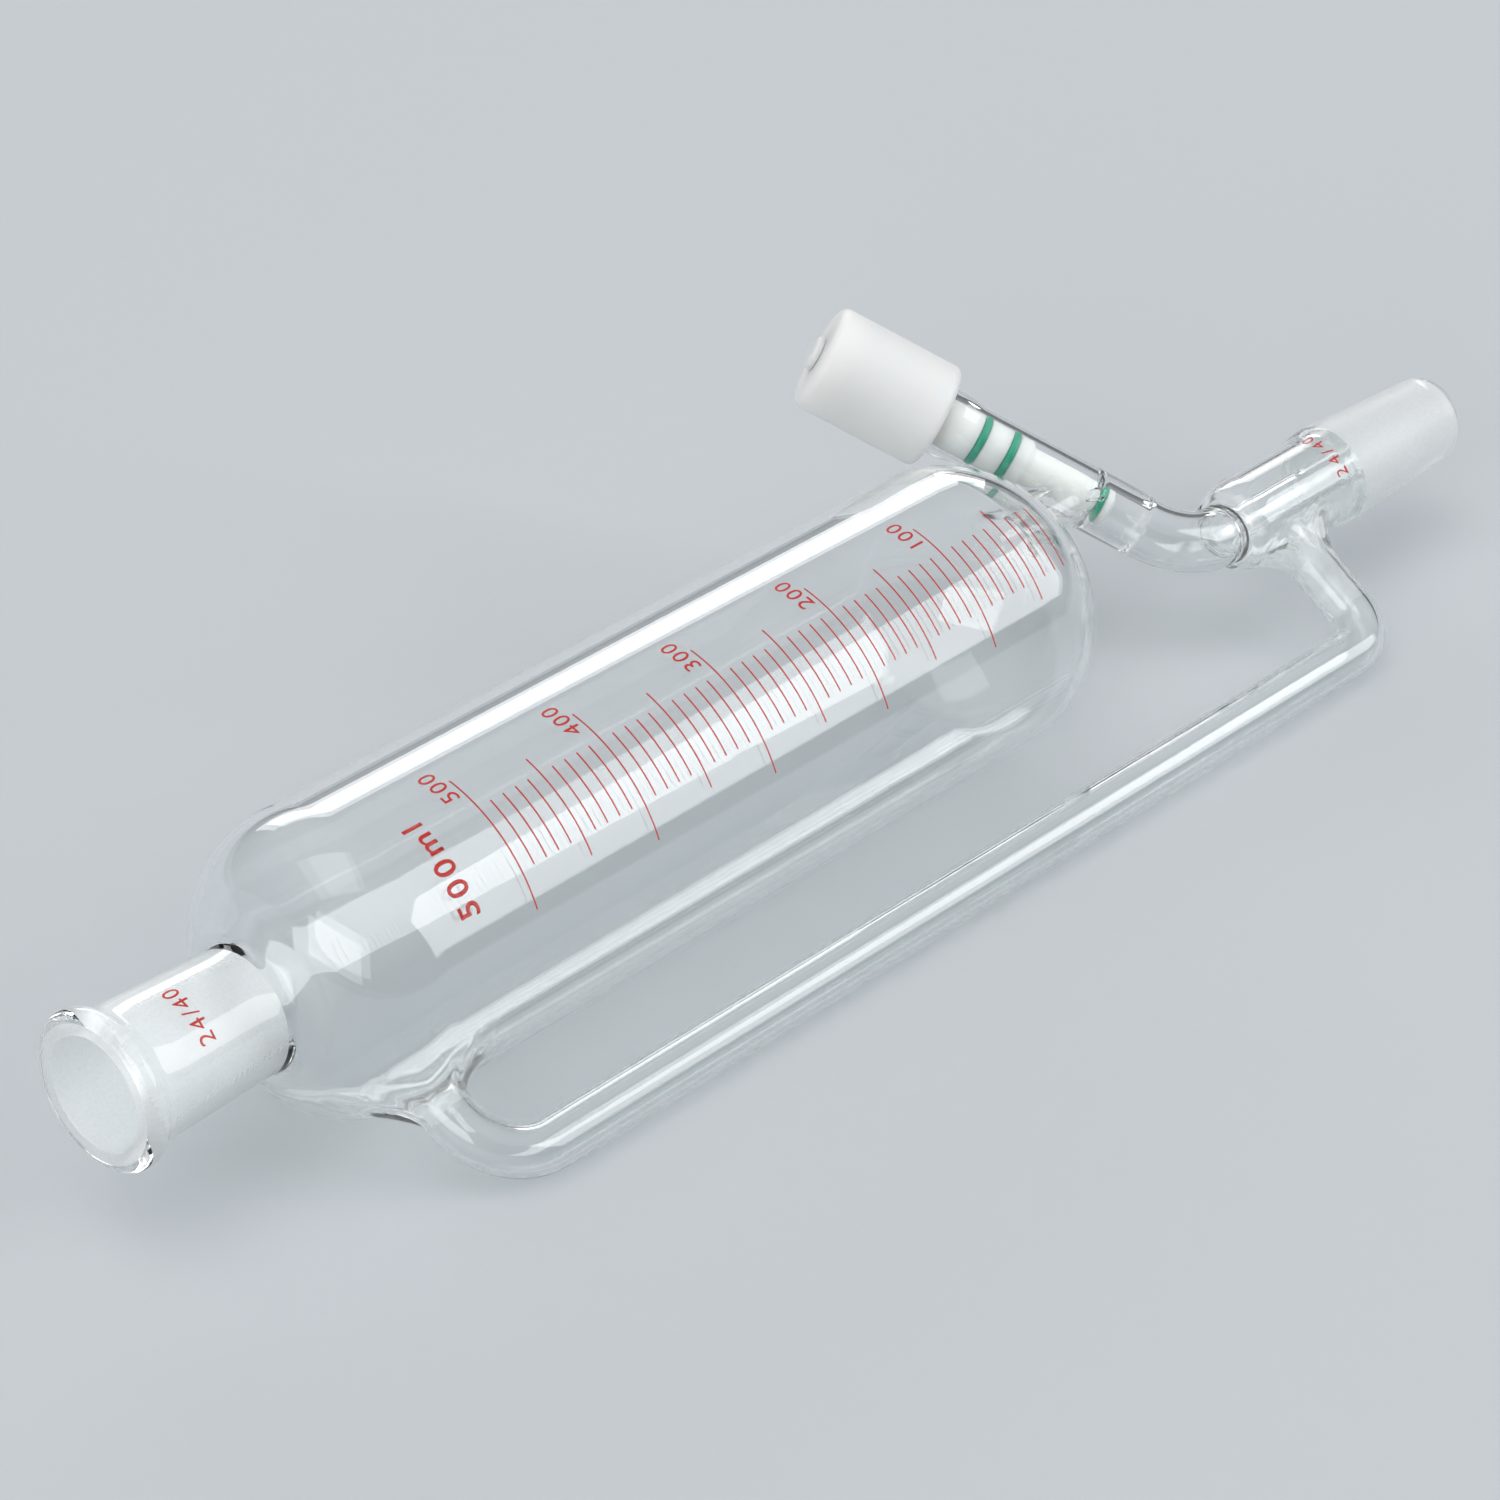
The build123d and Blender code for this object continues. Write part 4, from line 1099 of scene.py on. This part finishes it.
class FUNNEL_OT_stem(bpy.types.Operator):
    """Turn the PTFE stem with its lands, grooves, collar and end button"""

    bl_idname = "funnel.stem"
    bl_label = "Stem"

    def execute(self, context):
        material = ptfe_material(context.scene.funnel_valve.ptfe)
        half = TIP_GROOVE_HALF
        outline = [(-3.0, 0.0), (-3.0, NOSE_END_R), (-2.2, NOSE_R), (-half, NOSE_R),
                   (-half, TIP_GROOVE_R), (half, TIP_GROOVE_R), (half, NOSE_R), (3.6, NOSE_R),
                   (4.4, ROD_R), (18.0, ROD_R), (19.2, STEM_R)]
        for d in (LOW_RING_D, HIGH_RING_D):
            outline += [(d - GROOVE_HALF, STEM_R), (d - GROOVE_HALF, GROOVE_R),
                        (d + GROOVE_HALF, GROOVE_R), (d + GROOVE_HALF, STEM_R)]
        outline += [(42.0, STEM_R), (42.0, SPINDLE_R), (COLLAR_D1, SPINDLE_R),
                    (COLLAR_D1, COLLAR_R), (COLLAR_D2, COLLAR_R), (COLLAR_D2, PEG_R),
                    (KNOB_D2, PEG_R), (KNOB_D2, 0.0)]
        stem = turned_piece("needle_stem", eased(outline, 0.22), material)
        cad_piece(stem, "stem", "ptfe_white", "valve_stem")
        cap = [(KNOB_D2 + rise, r) for rise, r in ((0.03, 0.0), (0.03, 3.9), (1.1, 3.9),
                                                   (1.62, 3.62), (1.8, 3.15), (1.8, 0.0))]
        button = turned_piece("end_button", eased(cap, 0.12), material)
        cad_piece(button, "stem", "ptfe_white", "stem_button")
        return {"FINISHED"}


class FUNNEL_OT_seals(bpy.types.Operator):
    """Mould the three green O-rings"""

    bl_idname = "funnel.seals"
    bl_label = "O-rings"

    def execute(self, context):
        material = rubber_material(context.scene.funnel_valve.rubber)

        def squared(value):
            return np.sign(value) * abs(value) ** RING_SQUARENESS

        for name, node, d, inner_r, cord in (
                ("tip_seal", "seat_oring", 0.0, TIP_GROOVE_R, 1.5),
                ("lower_seal", "barrel_oring_low", LOW_RING_D, GROOVE_R, 1.8),
                ("upper_seal", "barrel_oring_high", HIGH_RING_D, GROOVE_R, 1.8)):
            half = cord / 2
            outline = [(d + half * squared(cos(t)), inner_r + half + half * squared(sin(t)))
                       for t in np.linspace(0, 2 * pi, 21)]
            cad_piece(turned_piece(name, outline, material), "stem", "oring_green", node)
        return {"FINISHED"}


class FUNNEL_OT_knob(bpy.types.Operator):
    """Turn the PTFE knob with its inner thread"""

    bl_idname = "funnel.knob"
    bl_label = "Knob"

    def execute(self, context):
        look = context.scene.funnel_valve
        corner = look.corner / MM
        low, high, edge_r = KNOB_D1 + corner, KNOB_D2 - corner, KNOB_R - corner
        outline = [(KNOB_D1, KNOB_BORE_R + 0.4), (KNOB_D1, edge_r)]
        outline += [(low - corner * cos(a), edge_r + corner * sin(a)) for a in arc(0, pi / 2, 8)]
        outline += [(d, KNOB_R) for d in np.linspace(low + 2, high - 2, 6)]
        outline += [(high + corner * sin(a), edge_r + corner * cos(a))
                    for a in np.linspace(0, pi / 2, 8)]
        outline += [(KNOB_D2, KNOB_HOLE_R + KNOB_CHAMFER), (KNOB_D2 - KNOB_CHAMFER, KNOB_HOLE_R),
                    (COLLAR_D2 + 0.3, KNOB_HOLE_R), (COLLAR_D2 + 0.3, KNOB_BORE_R)]
        outline += [(d, KNOB_BORE_R)
                    for d in np.arange(KNOB_THREAD_D2 + 0.5, KNOB_THREAD_D1 - 0.6, -0.25)]
        outline += [(KNOB_D1 + 0.4, KNOB_BORE_R), outline[0]]

        def ridge(d, r, angle):
            """The inner thread, which stands inward from the bore."""
            if abs(r - KNOB_BORE_R) > 0.01 or not KNOB_THREAD_D1 <= d <= KNOB_THREAD_D2:
                return 0.0
            return -thread_ridge(d, angle, KNOB_THREAD_D1, KNOB_THREAD_D2)

        knob = turned_piece("valve_handle", outline, ptfe_material(look.ptfe), 96, ridge)
        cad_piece(knob, "knob", "ptfe_white", "valve_knob")
        return {"FINISHED"}


# ------------------------------------------------------------------- stage
FLOOR_HALF = 3.0                               # metres
# Each softbox: the setting that holds its power, its share of it, the direction from
# the object, the distance, and its width and height, in metres.
SOFTBOXES = {
    "key_softbox": ("key", 1.0, (0.63, -0.64, 0.46), 3.1, (2.15, 1.79)),
    "rim_softbox": ("fill", 1.0, (0.55, 0.77, 0.32), 2.9, (2.66, 0.85)),
    "top_softbox": ("fill", 1.0, (-0.25, 0.15, 1.0), 3.35, (2.15, 2.15)),
    "side_softbox": ("fill", 2.7, (-0.95, -0.3, 0.40), 3.6, (2.9, 1.9)),
}
# The studio's walls from the horizon up: dark below, so that glass has edges.
STUDIO_TONES = ((0.0, "#24282C"), (0.35, "#6E7276"), (0.9, "#F4F6F8"))
BACKDROP_IN_GLASS = 0.15
# Light runs far inside thick glass, so it gets more turns than the usual four.
BOUNCES = {"max_bounces": 28, "transmission_bounces": 24, "glossy_bounces": 16,
           "transparent_max_bounces": 24}
CAMERA_AT = Vector((-0.718848, -0.615500, 0.636845))
CAMERA_HEADING, CAMERA_PITCH, CAMERA_ROLL = radians(41.050), radians(-33.358), radians(2.772)
CAMERA_LENS, CAMERA_SENSOR = 127.17, 36.0


def painted_board_material(colour):
    # Painted board, rolled: pale and matt, with hardly any sheen and the roller's
    # mottle at 4.5 mm.
    material, tree, output = new_material("painted_board")
    place = add_node(tree, "ShaderNodeTexCoord")
    mottle = add_node(tree, "ShaderNodeTexNoise", links={"Vector": place.outputs["Object"]},
                      Scale=every(4.5), Detail=3.0)
    rough = add_node(tree, "ShaderNodeMapRange", links={"Value": mottle.outputs[0]},
                     To_Min=0.72, To_Max=0.8)
    board = add_node(tree, "ShaderNodeBsdfPrincipled", links={"Roughness": rough.outputs[0]},
                     Base_Color=opaque(colour), IOR=1.3)
    tree.links.new(board.outputs[0], output.inputs["Surface"])
    return material


def lay_floor(colour, level):
    """The board that the funnel lies on, its top at this height."""
    work = bmesh.new()
    bmesh.ops.create_grid(work, x_segments=8, y_segments=8, size=FLOOR_HALF)
    mesh = bpy.data.meshes.new("floor")
    work.to_mesh(mesh)
    work.free()
    mesh.materials.append(painted_board_material(colour))
    floor = bpy.data.objects.new("floor", mesh)
    bpy.context.scene.collection.objects.link(floor)
    floor.location.z = level
    floor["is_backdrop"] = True


def softbox(name, power, aim, toward, distance, size):
    """A rectangular lamp in one direction from the aim point, facing it."""
    lamp = bpy.data.lights.new(name, "AREA")
    lamp.shape = "RECTANGLE"
    lamp.size, lamp.size_y = size
    lamp.energy = power
    thing = bpy.data.objects.new(name, lamp)
    bpy.context.scene.collection.objects.link(thing)
    direction = Vector(toward).normalized()
    thing.location = aim + direction * distance
    thing.rotation_euler = direction.to_track_quat("Z", "Y").to_euler()


def studio_world(backdrop_colour, sky):
    """Soft light from a studio's walls, behind a backdrop as pale as the floor."""
    world = bpy.data.worlds.new("studio")
    world.use_nodes = True
    tree = world.node_tree
    tree.nodes.clear()
    output = add_node(tree, "ShaderNodeOutputWorld")
    place = add_node(tree, "ShaderNodeTexCoord")
    split = add_node(tree, "ShaderNodeSeparateXYZ", links={"Vector": place.outputs["Generated"]})
    ramp = add_node(tree, "ShaderNodeValToRGB", links={"Fac": split.outputs["Z"]})
    ramp.color_ramp.elements.new(STUDIO_TONES[1][0])
    set_tones(ramp, [(height, linear(tone)) for height, tone in STUDIO_TONES])
    light = add_node(tree, "ShaderNodeBackground", links={"Color": ramp.outputs[0]},
                     Strength=sky)
    # the eye sees the backdrop all over, and a part of it through the glass
    backdrop = add_node(tree, "ShaderNodeBackground", Color=opaque(backdrop_colour),
                        Strength=1.0)
    path = add_node(tree, "ShaderNodeLightPath")
    seen = add_node(tree, "ShaderNodeMath", {"operation": "MULTIPLY_ADD"})
    tree.links.new(path.outputs["Is Transmission Ray"], seen.inputs[0])
    seen.inputs[1].default_value = BACKDROP_IN_GLASS
    tree.links.new(path.outputs["Is Camera Ray"], seen.inputs[2])
    mix = add_node(tree, "ShaderNodeMixShader", links={"Fac": seen.outputs[0]})
    tree.links.new(light.outputs[0], mix.inputs[1])
    tree.links.new(backdrop.outputs[0], mix.inputs[2])
    tree.links.new(mix.outputs[0], output.inputs["Surface"])
    return world


def place_camera():
    """The camera, a little over a metre off and above, rolled slightly."""
    lens = bpy.data.cameras.new("camera")
    lens.lens = CAMERA_LENS
    lens.sensor_width = CAMERA_SENSOR
    camera = bpy.data.objects.new("camera", lens)
    bpy.context.scene.collection.objects.link(camera)
    forward = Vector((cos(CAMERA_HEADING) * cos(CAMERA_PITCH),
                      sin(CAMERA_HEADING) * cos(CAMERA_PITCH), sin(CAMERA_PITCH)))
    level = Vector((sin(CAMERA_HEADING), -cos(CAMERA_HEADING), 0))
    upright = level.cross(forward)
    right = level * cos(CAMERA_ROLL) + upright * sin(CAMERA_ROLL)
    up = upright * cos(CAMERA_ROLL) - level * sin(CAMERA_ROLL)
    turn = Matrix((right, up, -forward)).transposed().to_4x4()
    camera.matrix_world = Matrix.Translation(CAMERA_AT) @ turn
    return camera


class FUNNEL_OT_stage(bpy.types.Operator):
    """Set the pale floor, the studio light and the camera"""

    bl_idname = "funnel.stage"
    bl_label = "Stage"

    def execute(self, context):
        scene = context.scene
        look = scene.funnel_stage
        low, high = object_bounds()
        lay_floor(look.floor, low[2])
        aim = (Vector(low) + Vector(high)) / 2
        for name, (setting, share, *placing) in SOFTBOXES.items():
            softbox(name, getattr(look, setting) * share, aim, *placing)
        scene.world = studio_world(look.floor, look.sky)
        scene.camera = place_camera()
        scene.view_settings.view_transform = "Standard"
        for name, count in BOUNCES.items():
            setattr(scene.cycles, name, count)
        return {"FINISHED"}


SETTINGS = {"funnel_glass": FunnelGlassSettings, "funnel_print": FunnelPrintSettings,
            "funnel_valve": FunnelValveSettings, "funnel_stage": FunnelStageSettings}
# the stage comes first, so that it is set from the solids' own box
STEPS = (FUNNEL_OT_stage, FUNNEL_OT_glass, FUNNEL_OT_print, FUNNEL_OT_stem, FUNNEL_OT_seals,
         FUNNEL_OT_knob)


class FUNNEL_PT_panel(bpy.types.Panel):
    """The funnel's steps in the order that they are made"""

    bl_label = "Funnel"
    bl_idname = "FUNNEL_PT_panel"
    bl_space_type = "VIEW_3D"
    bl_region_type = "UI"
    bl_category = "Funnel"

    def draw(self, context):
        for step in STEPS:
            self.layout.operator(step.bl_idname)
        for group in SETTINGS:
            settings = getattr(context.scene, group)
            box = self.layout.box()
            for name in settings.__annotations__:
                box.prop(settings, name)


def register():
    for kind in (*SETTINGS.values(), *STEPS, FUNNEL_PT_panel):
        bpy.utils.register_class(kind)
    for name, kind in SETTINGS.items():
        setattr(bpy.types.Scene, name, PointerProperty(type=kind))


def unregister():
    for name in SETTINGS:
        delattr(bpy.types.Scene, name)
    for kind in (FUNNEL_PT_panel, *reversed(STEPS), *reversed(SETTINGS.values())):
        bpy.utils.unregister_class(kind)


def main():
    cad_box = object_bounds()
    register()
    bpy.ops.funnel.stage()
    bpy.ops.funnel.glass()
    bpy.ops.funnel.print()
    bpy.ops.funnel.stem()
    bpy.ops.funnel.seals()
    bpy.ops.funnel.knob()
    bpy.context.view_layer.update()
    boxes = {"cad": cad_box, "visual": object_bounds()}
    {k: [list(map(float, corner)) for corner in v] for k, v in boxes.items()}


if __name__ == "__main__":
    main()
